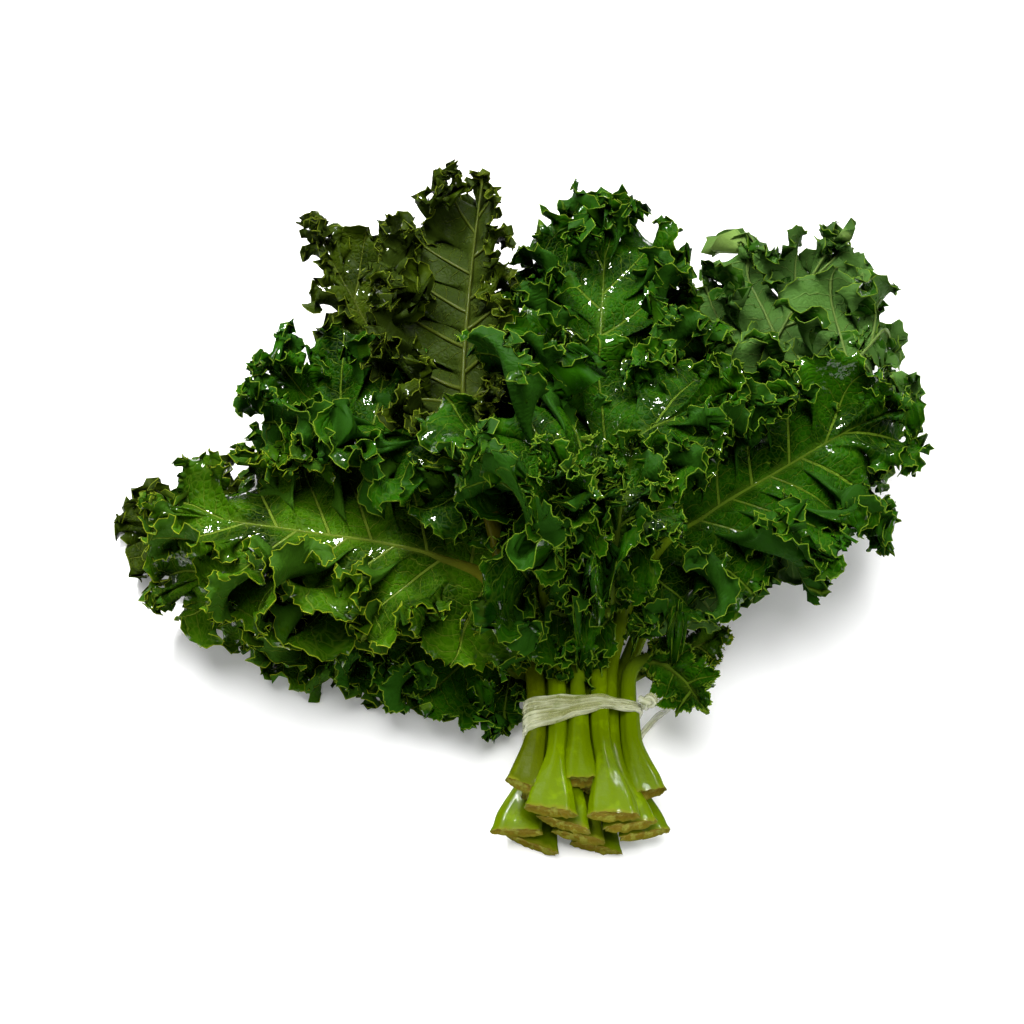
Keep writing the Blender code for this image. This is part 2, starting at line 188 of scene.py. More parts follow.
# %% The leaves
PLAIN_LEAF = dict(bend=70, cup=4, roll=0.0, droop=0, lobes=6, tone="dark", flip=False,
                  early=0.0, back=98.0, lift=0.0, frill=1.0)
OWN_VALUES = (
    dict(name="leaf_01_low_left", slot=(0, -1.5), near=-62, far=-88, length=172, start=40, left=32,
         right=44, cup=-7, lobes=5, tone="mid", early=10, rays=900),
    dict(name="leaf_02_far_left", slot=(0, -0.5), near=-34, far=-74, bend=60, length=272, start=60,
         left=44, right=50, cup=-7, droop=4, tone="olive", rays=900),
    dict(name="leaf_03_low_back", slot=(0, 0.5), near=0, far=6, bend=60, length=254, start=50, left=58,
         right=58, cup=-7, droop=4, rays=900),
    dict(name="leaf_04_low_right", slot=(0, 1.5), near=56, far=66, bend=40, length=86, start=38, left=15,
         right=13, cup=-6, lobes=3, tone="mid", frill=0.8, rays=600),
    dict(name="leaf_05_front_left", slot=(1, -2.0), near=-68, far=-70, bend=60, length=124, start=24,
         left=42, right=34, cup=0, roll=-0.55, droop=8, lobes=4, early=6, back=118, rays=2000),
    dict(name="leaf_06_left", slot=(1, -1.0), near=-38, far=-96, length=216, start=46, left=44, right=50,
         cup=3, roll=-0.15, droop=12, tone="mid", rays=1200),
    dict(name="leaf_07_back_left_sprig", slot=(1, 0.0), near=-24, far=-30, length=320, start=56, left=32,
         right=46, droop=-36, tone="olive", frill=1.2, rays=1600),
    dict(name="leaf_08_back_right", slot=(1, 1.0), near=20, far=31, length=300, start=54, left=54,
         right=56, droop=-34, tone="pale", flip=True, frill=1.1, rays=3000),
    dict(name="leaf_09_right_pale", slot=(1, 2.0), near=34, far=41, bend=80, length=258, start=50,
         left=52, right=48, cup=3, roll=0.10, droop=-8, lobes=5, tone="pale", flip=True, frill=1.15,
         rays=2400),
    dict(name="leaf_10_broad_left", slot=(2, -1.5), near=-47, far=-82, length=214, start=48, left=50,
         right=52, cup=5, roll=-0.20, droop=10, tone="mid", early=14, back=112, lift=0.25, rays=3200),
    dict(name="leaf_11_upper_left", slot=(2, -0.5), near=-26, far=-48, length=252, start=50, left=50,
         right=52, cup=5, roll=-0.10, droop=12, frill=1.1, rays=2800),
    dict(name="leaf_12_back_centre", slot=(2, 0.5), near=2, far=4, length=270, start=48, left=54,
         right=54, cup=6, droop=-22, frill=1.1, rays=3400),
    dict(name="leaf_13_right", slot=(2, 1.5), near=16, far=65, length=210, start=48, left=50, right=54,
         roll=0.25, droop=14, frill=1.2, early=10, lift=0.4, rays=3600),
    dict(name="leaf_14_small_right", slot=(2, 2.5), near=10, far=176, bend=20, length=72, start=30,
         left=14, right=13, cup=2, roll=0.10, droop=-4, lobes=2, frill=0.15, rays=500),
    dict(name="leaf_15_tall_folded", slot=(3, -2.0), near=-61, far=6, bend=52, length=274, start=96,
         left=48, right=22, roll=-0.15, droop=-14, tone="olive", flip=True, frill=1.2, rays=2800),
    dict(name="leaf_16_front_centre", slot=(3, -1.0), near=-46, far=78, bend=60, length=172, start=30,
         left=64, right=48, cup=3, roll=0.20, droop=8, frill=1.15, early=10, rays=4000),
    dict(name="leaf_17_short_front", slot=(3, 1.0), near=22, far=2, bend=50, length=82, start=34,
         left=27, right=25, cup=3, roll=-0.10, droop=16, lobes=3, frill=0.9, rays=2000),
    dict(name="leaf_18_small_front", slot=(3, 0.0), near=-6, far=-52, bend=40, length=56, start=24,
         left=31, right=33, cup=2, roll=-0.10, droop=22, lobes=3, frill=0.85, early=12, back=125,
         lift=0.3, rays=2000),
)
LEAVES = [{**PLAIN_LEAF, **own} for own in OWN_VALUES]
print(len(LEAVES), "leaves, from", LEAVES[0]["name"], "to", LEAVES[-1]["name"])

# %% [markdown]
# ## A leaf in plan
# Seen from above, a leaf is a curved line with a width on each side. The line starts at the
# leaf's place in the tie, among stalks that are packed like rods. It runs straight out of the
# tie, and then turns to its own heading. The blade's outline has one swelling for each lobe.

# %% A leaf in plan
def smoothstep(low, high, value):
    """0 up to the low value, 1 from the high value, and smooth between them."""
    t = np.clip((value - low) / (high - low), 0.0, 1.0)
    return t * t * (3.0 - 2.0 * t)


def smooth_max(a, b, width):
    """The larger of two values, with the corner rounded where they cross."""
    return 0.5 * (a + b + np.sqrt((a - b) ** 2 + width * width))


def slot_place(leaf):
    """Where a stalk runs through the tie: x and z of its middle."""
    row, place = leaf["slot"]
    return place * STALK_PITCH, LOWEST_STALK_Z + row * STALK_PITCH * math.sqrt(0.75)


def plan_path(leaf):
    """Distances along a leaf from the tie, with its plan points and headings."""
    x0, _ = slot_place(leaf)
    a = np.arange(0.0, leaf["length"] + STATION_STEP, STATION_STEP)
    turn = np.exp(-np.maximum(a - STRAIGHT, 0.0) / leaf["bend"])
    heading = np.radians(leaf["far"] + (leaf["near"] - leaf["far"]) * turn)
    heading *= smoothstep(STRAIGHT * 0.5, STRAIGHT + FAN_LENGTH, a)
    x = x0 + np.concatenate([[0.0], np.cumsum(np.sin(heading[:-1]) * STATION_STEP)])
    y = np.concatenate([[0.0], np.cumsum(np.cos(heading[:-1]) * STATION_STEP)])
    return a, x, y, heading


def half_width(leaf, a, b):
    """The blade's half width at a distance from the tie, on the side that b lies on."""
    s = np.clip((a - leaf["start"]) / (leaf["length"] - leaf["start"]), 0.0, 1.0)
    body = np.sin(math.pi * s**1.15) ** 0.7
    shift = np.where(b > 0, 0.25, 0.0)
    lobes = 1.0 - 0.16 * (1.0 - np.cos(TURN * (leaf["lobes"] * s + shift)))
    return np.where(b > 0, leaf["right"], leaf["left"]) * body * lobes


def stalk_radius(leaf, a):
    """A stalk's radius, which thins from the tie to the leaf's tip."""
    share = np.clip(a / leaf["length"], 0.0, 1.0)
    return TIP_RADIUS + (STALK_RADIUS - TIP_RADIUS) * (1.0 - share) ** 1.2


def is_long(leaf):
    """Every second stalk of a row was cut longer, and its wide foot clears its neighbours."""
    row, place = leaf["slot"]
    return int(place + 8.0 + row // 2) % 2 == 0


def cut_end(leaf):
    """How far below the tie a stalk was cut."""
    row, place = leaf["slot"]
    return (LONG_CUT if is_long(leaf) else SHORT_CUT) + 2.0 * math.sin(2.3 * place + 1.9 * row)


print("the longest stalk ends (mm below the tie):", round(max(cut_end(leaf) for leaf in LEAVES), 1))

# %% [markdown]
# ## Height fields
# A height field is a grid of heights over the table, like a relief map. It is a simple way to
# ask how high something is at a place, and in which way it slopes there. These helpers read a
# field between its points, widen it, and soften it.

# %% Height fields
def grid_axes():
    """The grid's places in x and in y."""
    return np.arange(*GRID_X, GRID_STEP), np.arange(*GRID_Y, GRID_STEP)


def widest_near(field, cells):
    """The highest value within some cells of each place of a grid."""
    best = field
    for axis in (0, 1):
        stack = [np.roll(best, k, axis) for k in range(-cells, cells + 1)]
        best = np.max(stack, axis=0)
    return best


def blurred(field, cells):
    """A grid's values, each averaged with its neighbours."""
    for axis in (0, 1):
        stack = [np.roll(field, k, axis) for k in range(-cells, cells + 1)]
        field = np.mean(stack, axis=0)
    return field


def height_at(field, x, y):
    """A height field read between its grid points."""
    u = np.clip((np.asarray(x, float) - GRID_X[0]) / GRID_STEP, 0.0, field.shape[0] - 1.001)
    v = np.clip((np.asarray(y, float) - GRID_Y[0]) / GRID_STEP, 0.0, field.shape[1] - 1.001)
    i, j = u.astype(int), v.astype(int)
    fu, fv = u - i, v - j
    low = field[i, j] * (1.0 - fu) + field[i + 1, j] * fu
    high = field[i, j + 1] * (1.0 - fu) + field[i + 1, j + 1] * fu
    return low * (1.0 - fv) + high * fv


def slope_at(field, x, y):
    """The upward unit normal of a height field at plan points."""
    step = GRID_STEP
    across = (height_at(field, x + step, y) - height_at(field, x - step, y)) / (2.0 * step)
    along = (height_at(field, x, y + step) - height_at(field, x, y - step)) / (2.0 * step)
    normal = np.stack([-across, -along, np.ones_like(across)], axis=-1)
    return normal / np.linalg.norm(normal, axis=-1, keepdims=True)


print("grid points in a height field:", [len(axis) for axis in grid_axes()])

# %% [markdown]
# ## Laying the leaves one on another
# Real leaves in a pile rest on those below. To copy that, a height field is kept of the pile so
# far. Each new leaf follows its own row's height, or a set gap above the pile where that is
# higher. The rounding of the pile's edges makes the leaves bend over each other softly.

# %% Laying the leaves
OPENING_LENGTH = 30.0
WIDEST_ROLL = 60.0
ROUNDING = 6.0


def row_height(leaf, x, y):
    """How high a leaf's own row carries it, at a plan point."""
    x0, z0 = slot_place(leaf)
    away = np.maximum(np.hypot(x - x0, y) - STRAIGHT, 0.0)
    rise = ROW_RISE[leaf["slot"][0]] * (1.0 - np.exp(-away / RISE_LENGTH))
    sideways = (x / np.maximum(np.hypot(x, y), 1.0)) ** 2
    return z0 + rise * (1.0 - SIDE_SAG * sideways * smoothstep(60.0, 140.0, away))


def leaf_coordinates(leaf, x, y):
    """The nearest distance along a leaf, and how far to its right, of plan points."""
    a, px, py, heading = plan_path(leaf)
    flat_x, flat_y = np.ravel(x), np.ravel(y)
    near = np.argmin((flat_x[:, None] - px) ** 2 + (flat_y[:, None] - py) ** 2, axis=1)
    side = (flat_x - px[near]) * np.cos(heading[near]) - (flat_y - py[near]) * np.sin(heading[near])
    return a[near].reshape(np.shape(x)), side.reshape(np.shape(x))


def lay_leaves(leaves):
    """One height field for each leaf, each clear above those laid before it."""
    gx, gy = grid_axes()
    x, y = np.meshgrid(gx, gy, indexing="ij")
    pile = np.zeros_like(x) - LAYER_GAP
    fields = {}
    for leaf in leaves:
        x0, _ = slot_place(leaf)
        a, b = leaf_coordinates(leaf, x, y)
        own = row_height(leaf, x, y)
        own = own - leaf["droop"] * smoothstep(0.5 * leaf["length"], leaf["length"], a)
        width = half_width(leaf, a, b)
        open_part = smoothstep(leaf["start"], leaf["start"] + OPENING_LENGTH, a)
        share = np.clip(np.abs(b) / np.maximum(width, 6.0), 0.0, 1.3)
        bend = -leaf["roll"] * np.clip(b, -WIDEST_ROLL, WIDEST_ROLL) + leaf["cup"] * share**1.6
        own = own + bend * open_part
        clear = blurred(blurred(widest_near(pile, SPREAD_CELLS), 2), 2) + LAYER_GAP
        settled = smooth_max(own, clear, ROUNDING)
        away = np.hypot(x - x0, y)
        free = smoothstep(SETTLE_START, SETTLE_END, away)
        height = own * (1.0 - free) + settled * free
        height = np.maximum(height, LOWEST_BLADE_Z)
        fields[leaf["name"]] = height
        radius = stalk_radius(leaf, a)
        covered = (np.abs(b) < np.maximum(width, radius) + GRID_STEP) & (y > 0.0)
        top = height + np.where(np.abs(b) < radius, radius, 1.0)
        pile = np.where(covered, np.maximum(pile, top), pile)
    return fields


fields = lay_leaves(LEAVES)
print("highest blade middle (mm):", round(max(float(f.max()) for f in fields.values()), 1))

# %% [markdown]
# ## Room between the leaves
# A frill that is pressed by a neighbour lies flatter. For each leaf two more height fields say
# how far down and how far up its frills may reach: the tops of the leaves below, and the
# undersides of the leaves above. Past a neighbour's edge the limit fades away.

# %% Room above and below each leaf
OPEN_SKY = 158.0
TABLE_SKIN = 0.35
NEIGHBOUR_GAP = 1.5
COVERING_SHARE = 0.8


def cover_masks():
    """Where each leaf lies, as a mask over the grid."""
    x, y = np.meshgrid(*grid_axes(), indexing="ij")
    masks = {}
    for leaf in LEAVES:
        a, b = leaf_coordinates(leaf, x, y)
        covering = np.maximum(half_width(leaf, a, b) * COVERING_SHARE, stalk_radius(leaf, a))
        masks[leaf["name"]] = (np.abs(b) < covering) & (y > 0.0)
    return masks


def room_for(index, masks):
    """The lowest and highest heights that a leaf's frills may take, over the grid."""
    low = np.full_like(fields[LEAVES[0]["name"]], TABLE_SKIN)
    high = np.full_like(low, OPEN_SKY)
    for other, leaf in enumerate(LEAVES):
        name = leaf["name"]
        if other < index:
            low = np.where(masks[name], np.maximum(low, fields[name] + NEIGHBOUR_GAP), low)
        if other > index:
            high = np.where(masks[name], np.minimum(high, fields[name] - NEIGHBOUR_GAP), high)
    return blurred(low, 1), blurred(high, 1)


masks = cover_masks()
rooms = {leaf["name"]: room_for(number, masks) for number, leaf in enumerate(LEAVES)}
print("room worked out for", len(rooms), "leaves")

# %% [markdown]
# ## How a curly leaf is grown
# A kale leaf grows faster at its margin than at its midrib. The margin has no room to lie flat,
# so it buckles into waves, and the waves carry smaller waves. A cloth simulation could find them,
# but it is slow and comes out different each time. So the blade is made as a fan of rays from the
# midrib to the margin. Each ray keeps its own length and only bends, so nothing looks stretched.
# First come the curves and the sums that all of this needs.

# %% Curves and directions
def wander(rng, x, scale, rough=3):
    """A smooth random curve between about -1 and 1."""
    total = np.zeros_like(x)
    for k in range(rough):
        frequency = scale * (1.0 + 0.9 * k)
        total += math.sin(1.0 + k) ** 2 * np.sin(TURN * (frequency * x + rng.random()))
        total += 0.5 * np.sin(TURN * (0.61 * frequency * x + rng.random()))
    return total / (1.1 * rough)


def unit(v):
    """Directions of length one."""
    return v / np.maximum(np.linalg.norm(v, axis=-1, keepdims=True), 1e-9)


def travelled(points):
    """The distance along a line of points, from its first point."""
    return np.concatenate([[0.0], np.cumsum(np.linalg.norm(np.diff(points, axis=0), axis=1))])


def near_edge(edge, reach):
    """1 at the margin, fading to 0 at a distance inside it."""
    return 1.0 - smoothstep(0.0, reach, edge)


def run_sum(values, step):
    """The running integral down the rows."""
    middle = 0.5 * (values[:, 1:] + values[:, :-1]) * step
    return np.concatenate([np.zeros((len(values), 1)), np.cumsum(middle, axis=1)], axis=1)


def frame_of(grid):
    """Normals, margin directions and outward directions of a grid of points."""
    along = unit(np.gradient(grid, axis=0))
    outward = unit(np.gradient(grid, axis=1))
    normal = unit(np.cross(along, outward))
    return normal, along, outward


print("a wandering curve:", np.round(wander(np.random.default_rng(1), np.linspace(0.0, 1.0, 5), 2.0), 2))

# %% [markdown]
# ## Bending the rays
# Three steps are used again and again: walk each ray out over the pile, bend the rays in turn up
# and down along the margin, and ease the frills flatter where a neighbour or the table is in the
# way. A bend is the angle by which a ray has turned, so its length is kept.

# %% Bending the rays
FINE_ROWS = 61
BLADE_HALF = 0.20
MOST_BEND = 1.5
MOST_SWAY = 7.0
PRESSED_SKIN = 3.0
PRESS_EASE = 8.0
TABLE_EASE = 1.5


def true_path(leaf, field):
    """The midrib's line in plan, with its heading and its true length up and down the pile."""
    path_a, px, py, heading = plan_path(leaf)
    rise = np.diff(height_at(field, px, py))
    true = np.concatenate([[0.0], np.cumsum(np.hypot(rise, STATION_STEP))])
    return path_a, px, py, heading, true


def slide_out(field, start, way, bend, step):
    """Walks out along each ray over the slope of the pile, with the ray's own length kept."""
    here = start.copy()
    walked = [here]
    for row in range(1, FINE_ROWS):
        away = np.cos(0.5 * (bend[:, row] + bend[:, row - 1])) * step[:, row - 1]
        ahead = here + way
        slope = height_at(field, ahead[:, 0], ahead[:, 1]) - height_at(field, here[:, 0], here[:, 1])
        here = here + way * (away / np.sqrt(1.0 + slope**2))[:, None]
        walked.append(here)
    return np.stack(walked, axis=1)


def ruffle(grid, step, phase, bends, ramp, sway):
    """Bends each ray up and down along the margin, in the frame of the surface so far."""
    normal, along, outward = frame_of(grid)
    bend = (np.minimum(bends, MOST_BEND) * np.sin(phase))[:, None] * ramp
    rise = run_sum(np.sin(bend), step)
    back = run_sum(1.0 - np.cos(bend), step)
    spacing = np.linalg.norm(np.gradient(grid, axis=0), axis=-1)
    radian = np.minimum(spacing / np.maximum(np.abs(np.gradient(phase))[:, None], 1e-4), MOST_SWAY)
    shift = -sway * radian * np.sin(2.0 * phase)[:, None] * ramp**2
    return grid + normal * rise[..., None] - outward * back[..., None] + along * shift[..., None]


def pressed_height(grid, room, inner):
    """Heights of a grid's points, eased where they would pass through a neighbour or the table."""
    low, high = room
    floor = height_at(low, grid[..., 0], grid[..., 1])
    sky = np.maximum(height_at(high, grid[..., 0], grid[..., 1]), floor + 2.0)
    z = grid[..., 2]
    over, under = np.maximum(z - sky, 0.0), np.maximum(floor - z, 0.0)
    z = z - over + PRESSED_SKIN * (1.0 - np.exp(-over / PRESS_EASE))
    z = z + under - PRESSED_SKIN * (1.0 - np.exp(-under / PRESS_EASE))
    z = z * (1.0 - inner) + grid[..., 2] * inner
    ground = TABLE_SKIN + BLADE_HALF
    eased = ground + TABLE_EASE
    soft = ground + TABLE_EASE * np.exp((np.minimum(z, eased) - eased) / TABLE_EASE)
    return np.where(z < eased, soft, z)


print("rows from midrib to margin:", FINE_ROWS)

# %% [markdown]
# ## One blade
# The steps follow how the leaf grows: rays and lobes first, then the swelling between the veins,
# large waves along the lobes, curls on the waves, and last the lobules, teeth and crimp of the
# very edge. The sizes are in millimetres, and the bends are in radians.

# %% One blade
ROW_CROWDING = 1.35
LOBE_SPACING = 24.0
LOBE_FAN = 18.0
LOBE_DEPTH = 0.42
LOBE_BEND = 0.95
TIP_ANGLE = 56.0
SWELLING = 4.2
WAVES_TO_A_LOBE = 2.6
WAVE_BEND = 1.10
WAVE_REACH = 28.0
CURLS_TO_A_WAVE = 3.6
CURL_BEND = 1.25
CURL_REACH = 9.5
TOOTH_DEPTH = 1.0
TOOTH_REACH = 5.0
CRIMP = 1.4
LOBULE_DEPTH = 3.4
LOBULE_REACH = 11.0
TEETH_TO_A_LOBULE = 4.3
NARROWEST_GAP = 4.0
WIDEST_GAP = 90.0


def toothed(rng, grid, edge, sigma, teeth, count, calm):
    """The very edge: small lobules with notches between them, then teeth, and a fine crimp."""
    normal, _, outward = frame_of(grid)
    lobule = teeth / TEETH_TO_A_LOBULE + 0.5 * wander(rng, sigma, count * 4.0)
    notch = LOBULE_DEPTH * (1.0 - np.abs(np.sin(math.pi * lobule))) ** 2
    notch = notch * (0.5 + 0.6 * np.abs(wander(rng, sigma, count * 3.0)))
    tooth = (1.0 - np.abs(2.0 * (teeth % 1.0) - 1.0)) ** 1.1
    tooth = TOOTH_DEPTH * tooth * (0.35 + 0.9 * np.sin(2.4 * np.floor(teeth)) ** 2)
    crimp = CRIMP * np.sin(math.pi * teeth) * (0.7 + 0.6 * wander(rng, sigma, 19.0))
    crimp = crimp + 0.9 * np.sin(TURN * (teeth / 3.3 + 0.4 * wander(rng, sigma, count * 2.0)))
    at_lobules = near_edge(edge, LOBULE_REACH)
    reach = tooth[:, None] * near_edge(edge, TOOTH_REACH) - notch[:, None] * at_lobules
    lifted = calm * crimp[:, None] * at_lobules
    return grid + outward * reach[..., None] + normal * lifted[..., None]


def colour_facts(grid, veins, v, last_edge, out, along, aside):
    """What the finishes need to know at each point: its vein, its place and its way to the margin."""
    apart = np.hypot(np.gradient(along, axis=0), np.gradient(aside, axis=0))
    gap = apart / np.maximum(np.abs(np.gradient(veins)), 1e-5)[:, None]
    steps = np.linalg.norm(np.diff(grid, axis=1), axis=-1)
    to_margin = np.cumsum(steps[:, ::-1], axis=1)[:, ::-1]
    return dict(
        vein=np.broadcast_to(veins[:, None], out.shape),
        gap=np.clip(gap, NARROWEST_GAP, WIDEST_GAP),
        out=out,
        edge=np.concatenate([to_margin, last_edge], axis=1),
        share=np.broadcast_to(v, out.shape),
        along=along,
        aside=aside,
    )


def grow_blade(leaf, field, room, seed, sigma, teeth=None):
    """The middle surface of a blade as a grid of rays and rows, with facts for its colours."""
    rng = np.random.default_rng(seed)
    s = 1.0 - np.abs(1.0 - sigma)
    side = np.where(sigma < 1.0, -1.0, 1.0)
    path_a, px, py, heading, true = true_path(leaf, field)
    first = np.interp(leaf["start"] - leaf["early"], path_a, true)
    span = true[-1] - first

    # The rays leave the midrib nearly square at the base and turn towards the tip. Around each
    # side vein they spread like a fan, which makes a lobe
    frill = leaf["frill"]
    count = max(3, round(span / LOBE_SPACING))
    veins = count * s**0.92 + 0.30 * side + 0.16 * wander(rng, sigma, 3.0)
    lobe_phase = TURN * veins
    lobed = 1.0 - smoothstep(0.84, 0.98, s)
    root = np.interp(first + span * 0.93 * s, true, path_a)
    spread = leaf["back"] - (leaf["back"] - TIP_ANGLE) * smoothstep(0.0, 0.4, s)
    spread = spread * (1.0 - smoothstep(0.72, 1.0, s))
    spread = np.radians(spread + LOBE_FAN * np.sin(lobe_phase) * lobed)
    turn = np.interp(root, path_a, heading) + side * spread
    way = np.stack([np.sin(turn), np.cos(turn)], axis=-1)
    start = np.stack([np.interp(root, path_a, px), np.interp(root, path_a, py)], axis=-1)

    middle = 0.5 * (leaf["left"] + leaf["right"])
    own = np.where(side > 0, leaf["right"], leaf["left"])
    widest = own + (middle - own) * smoothstep(0.8, 1.0, s)
    body = np.sin(0.93 * math.pi * s**1.1 + 0.10) ** 0.60
    notch = LOBE_DEPTH * min(1.0, 0.3 + frill) * (0.5 + 0.5 * np.cos(lobe_phase)) ** 1.5 * lobed
    length = 1.22 * widest * body * (1.0 - notch) * (1.0 + 0.09 * wander(rng, sigma, 6.0))
    length += 2.2 * wander(rng, sigma, count * 1.7)
    length = np.maximum(length, 3.0)
    v = 1.0 - (1.0 - np.linspace(0.0, 1.0, FINE_ROWS)) ** ROW_CROWDING
    step = length[:, None] * np.diff(v)
    edge = length[:, None] * (1.0 - v)

    # Lobes: one edge of each rides up and the other dips, so that lobes overlap like shingles
    tilt = 0.45 * wander(rng, sigma, count * 0.45) + leaf["lift"]
    tilt = tilt * (0.4 + 0.6 * lobed)
    sweep = LOBE_BEND * np.sin(lobe_phase + 0.5 * wander(rng, sigma, 4.0)) * lobed
    sweep = sweep + 0.7 * (1.0 - lobed) * np.sin(TURN * (3.1 * sigma + rng.random()))
    ramp = smoothstep(0.15, 0.85, v)[None, :]
    bend = frill * (tilt + sweep)[:, None] * ramp
    lift = run_sum(np.sin(bend), step)
    plan = slide_out(field, start, way, bend, step)
    up = slope_at(field, plan[..., 0], plan[..., 1])
    base = np.concatenate([plan, height_at(field, plan[..., 0], plan[..., 1])[..., None]], axis=-1)
    grid = base + up * lift[..., None]

    # The blade domes up between its side veins
    flank = np.abs(2.0 * (veins % 1.0) - 1.0)
    dome = np.sin(0.5 * math.pi * np.minimum(1.0, 1.6 * flank))[:, None] * smoothstep(0.04, 0.3, v)
    turned = -1.0 if leaf["flip"] else 1.0
    roll = 2.0 * wander(rng, sigma, 9.0)[:, None] * smoothstep(0.15, 0.5, v)
    swell = SWELLING + 1.6 * wander(rng, sigma, 11.0)[:, None]
    grid = grid + up * (turned * swell * dome + roll)[..., None]

    # Waves along the margin of the lobes
    waves = count * WAVES_TO_A_LOBE
    phase = TURN * (waves * sigma + 0.16 * wander(rng, sigma, waves * 0.3))
    height = 0.85 + 0.45 * wander(rng, sigma, waves * 0.35)
    ramp = near_edge(edge, np.minimum(0.60 * length, WAVE_REACH)[:, None])
    grid = ruffle(grid, step, phase, WAVE_BEND * frill * height, ramp, 0.42)

    # Curls on the waves
    curls = waves * CURLS_TO_A_WAVE
    phase = TURN * (curls * sigma + 0.18 * wander(rng, sigma, waves * 0.8))
    height = 0.8 + 0.5 * wander(rng, sigma, waves * 0.9)
    ramp = near_edge(edge, np.minimum(0.36 * length, CURL_REACH)[:, None])
    grid = ruffle(grid, step, phase, CURL_BEND * frill * height, ramp, 0.40)

    if teeth is not None:
        grid = toothed(rng, grid, edge, sigma, teeth, count, min(1.0, frill))
    grid[..., 2] = pressed_height(grid, room, (1.0 - smoothstep(0.0, 0.2, v))[None, :])

    out = length[:, None] * v
    along = np.interp(root, path_a, true)[:, None] + np.cos(spread)[:, None] * out
    aside = (side * np.sin(spread))[:, None] * out
    return grid, colour_facts(grid, veins, v, edge[:, -1:], out, along, aside), veins


print("waves to a lobe:", WAVES_TO_A_LOBE, "and curls to a wave:", CURLS_TO_A_WAVE)

# %% [markdown]
# ## Where the rays go
# Rays that are even along the midrib would be far apart on the frilled margin, which is several
# times as long. So the blade is grown roughly a few times, its margin is measured, and the rays
# are moved until they are even there. Two rays make a tooth.

# %% Spacing the rays
ROUGH_RAYS = 1201
FEWEST_RAYS = 480
RAY_SPACING = 0.74
RAYS_TO_A_TOOTH = 2.0


def spaced_rays(leaf, field, room, seed):
    """Ray positions that are evenly spaced along the frilled margin, with the count of teeth."""
    sigma = np.linspace(0.0, 2.0, ROUGH_RAYS)
    for _ in range(3):
        grid, _, _ = grow_blade(leaf, field, room, seed, sigma)
        gaps = np.linalg.norm(np.diff(grid[:, -1], axis=0), axis=-1)
        gaps = gaps + 0.25 * gaps.mean()
        margin = np.concatenate([[0.0], np.cumsum(gaps)])
        rays = int(np.clip(margin[-1] / RAY_SPACING, FEWEST_RAYS, leaf["rays"])) // 8 * 8
        sigma = np.interp(np.linspace(0.0, margin[-1], rays + 1), margin, sigma)
    return sigma, np.arange(rays + 1) / RAYS_TO_A_TOOTH, margin[-1] / 1.25


print("spacing of the rays (mm):", RAY_SPACING)

# %% [markdown]
# ## A helper for finishes
# A finish can be painted by hand or drawn by arithmetic. Arithmetic is used here, since it stays
# sharp at every distance. Every finish is one Principled shader fed by a net of small nodes. The
# helper keeps them short: each method adds a node, and plain sums of the results add math nodes.

# %% A helper for node recipes
class Value:
    """What a node gives out. A sum or product with it adds a math node."""

    def __init__(self, recipe, socket):
        self.recipe = recipe
        self.socket = socket

    def __add__(self, other):
        return self.recipe.math("ADD", self, other)

    def __sub__(self, other):
        return self.recipe.math("SUBTRACT", self, other)

    def __rsub__(self, other):
        return self.recipe.math("SUBTRACT", other, self)

    def __mul__(self, other):
        return self.recipe.math("MULTIPLY", self, other)

    def __truediv__(self, other):
        return self.recipe.math("DIVIDE", self, other)

    def __abs__(self):
        return self.recipe.math("ABSOLUTE", self)


class Recipe:
    """One material, written as a list of steps."""

    def __init__(self, name):
        self.material = bpy.data.materials.new(name)
        self.material.use_nodes = True
        self.tree = self.material.node_tree
        self.shader = self.tree.nodes["Principled BSDF"]

    def feed(self, socket, value):
        """Links a node's value to a socket, or sets a number or a colour on it."""
        if isinstance(value, Value):
            self.tree.links.new(value.socket, socket)
        elif value is not None:
            socket.default_value = (*value, 1.0) if isinstance(value, tuple) else value

    def add(self, kind, result, inputs, **settings):
        """Adds one node and gives back one of its results."""
        node = self.tree.nodes.new("ShaderNode" + kind)
        for name, value in settings.items():
            setattr(node, name, value)
        for socket, value in inputs.items():
            self.feed(node.inputs[socket], value)
        return Value(self, node.outputs[result])

    def fact(self, name):
        return self.add("Attribute", "Fac", {}, attribute_name=name)

    def place(self):
        return self.add("TexCoord", "Object", {})

    def join(self, x, y):
        return self.add("CombineXYZ", 0, {0: x, 1: y})

    def math(self, operation, a, b=None):
        return self.add("Math", 0, {0: a, 1: b}, operation=operation)

    def most(self, first, *others):
        for other in others:
            first = self.math("MAXIMUM", first, other)
        return first

    def fade(self, value, start, end):
        """1 up to the start, then down to 0 at the end. The other way when end is below start."""
        inputs = {"Value": value, "From Min": start, "From Max": end, "To Min": 1.0, "To Max": 0.0}
        return self.add("MapRange", "Result", inputs, interpolation_type="SMOOTHSTEP")

    def noise(self, where, scale, detail=3.0, rough=0.55):
        inputs = {"Vector": where, "Scale": scale, "Detail": detail, "Roughness": rough}
        return self.add("TexNoise", "Fac", inputs)

    def cells(self, where, scale):
        inputs = {"Vector": where, "Scale": scale}
        return self.add("TexVoronoi", "Distance", inputs, feature="DISTANCE_TO_EDGE")

    def mix(self, share, a, b):
        return self.add("Mix", "Result", {"Factor": share, "A": a, "B": b}, data_type="RGBA")

    def bump(self, height, depth, socket="Normal"):
        """Relief on the surface, or only on its wet coat."""
        relief = self.add("Bump", 0, {"Strength": 1.0, "Distance": depth, "Height": height})
        self.feed(self.shader.inputs[socket], relief)

    def finish(self, colour, roughness, **more):
        for name, value in dict(Base_Color=colour, Roughness=roughness, **more).items():
            self.feed(self.shader.inputs[name.replace("_", " ")], value)
        return self.material


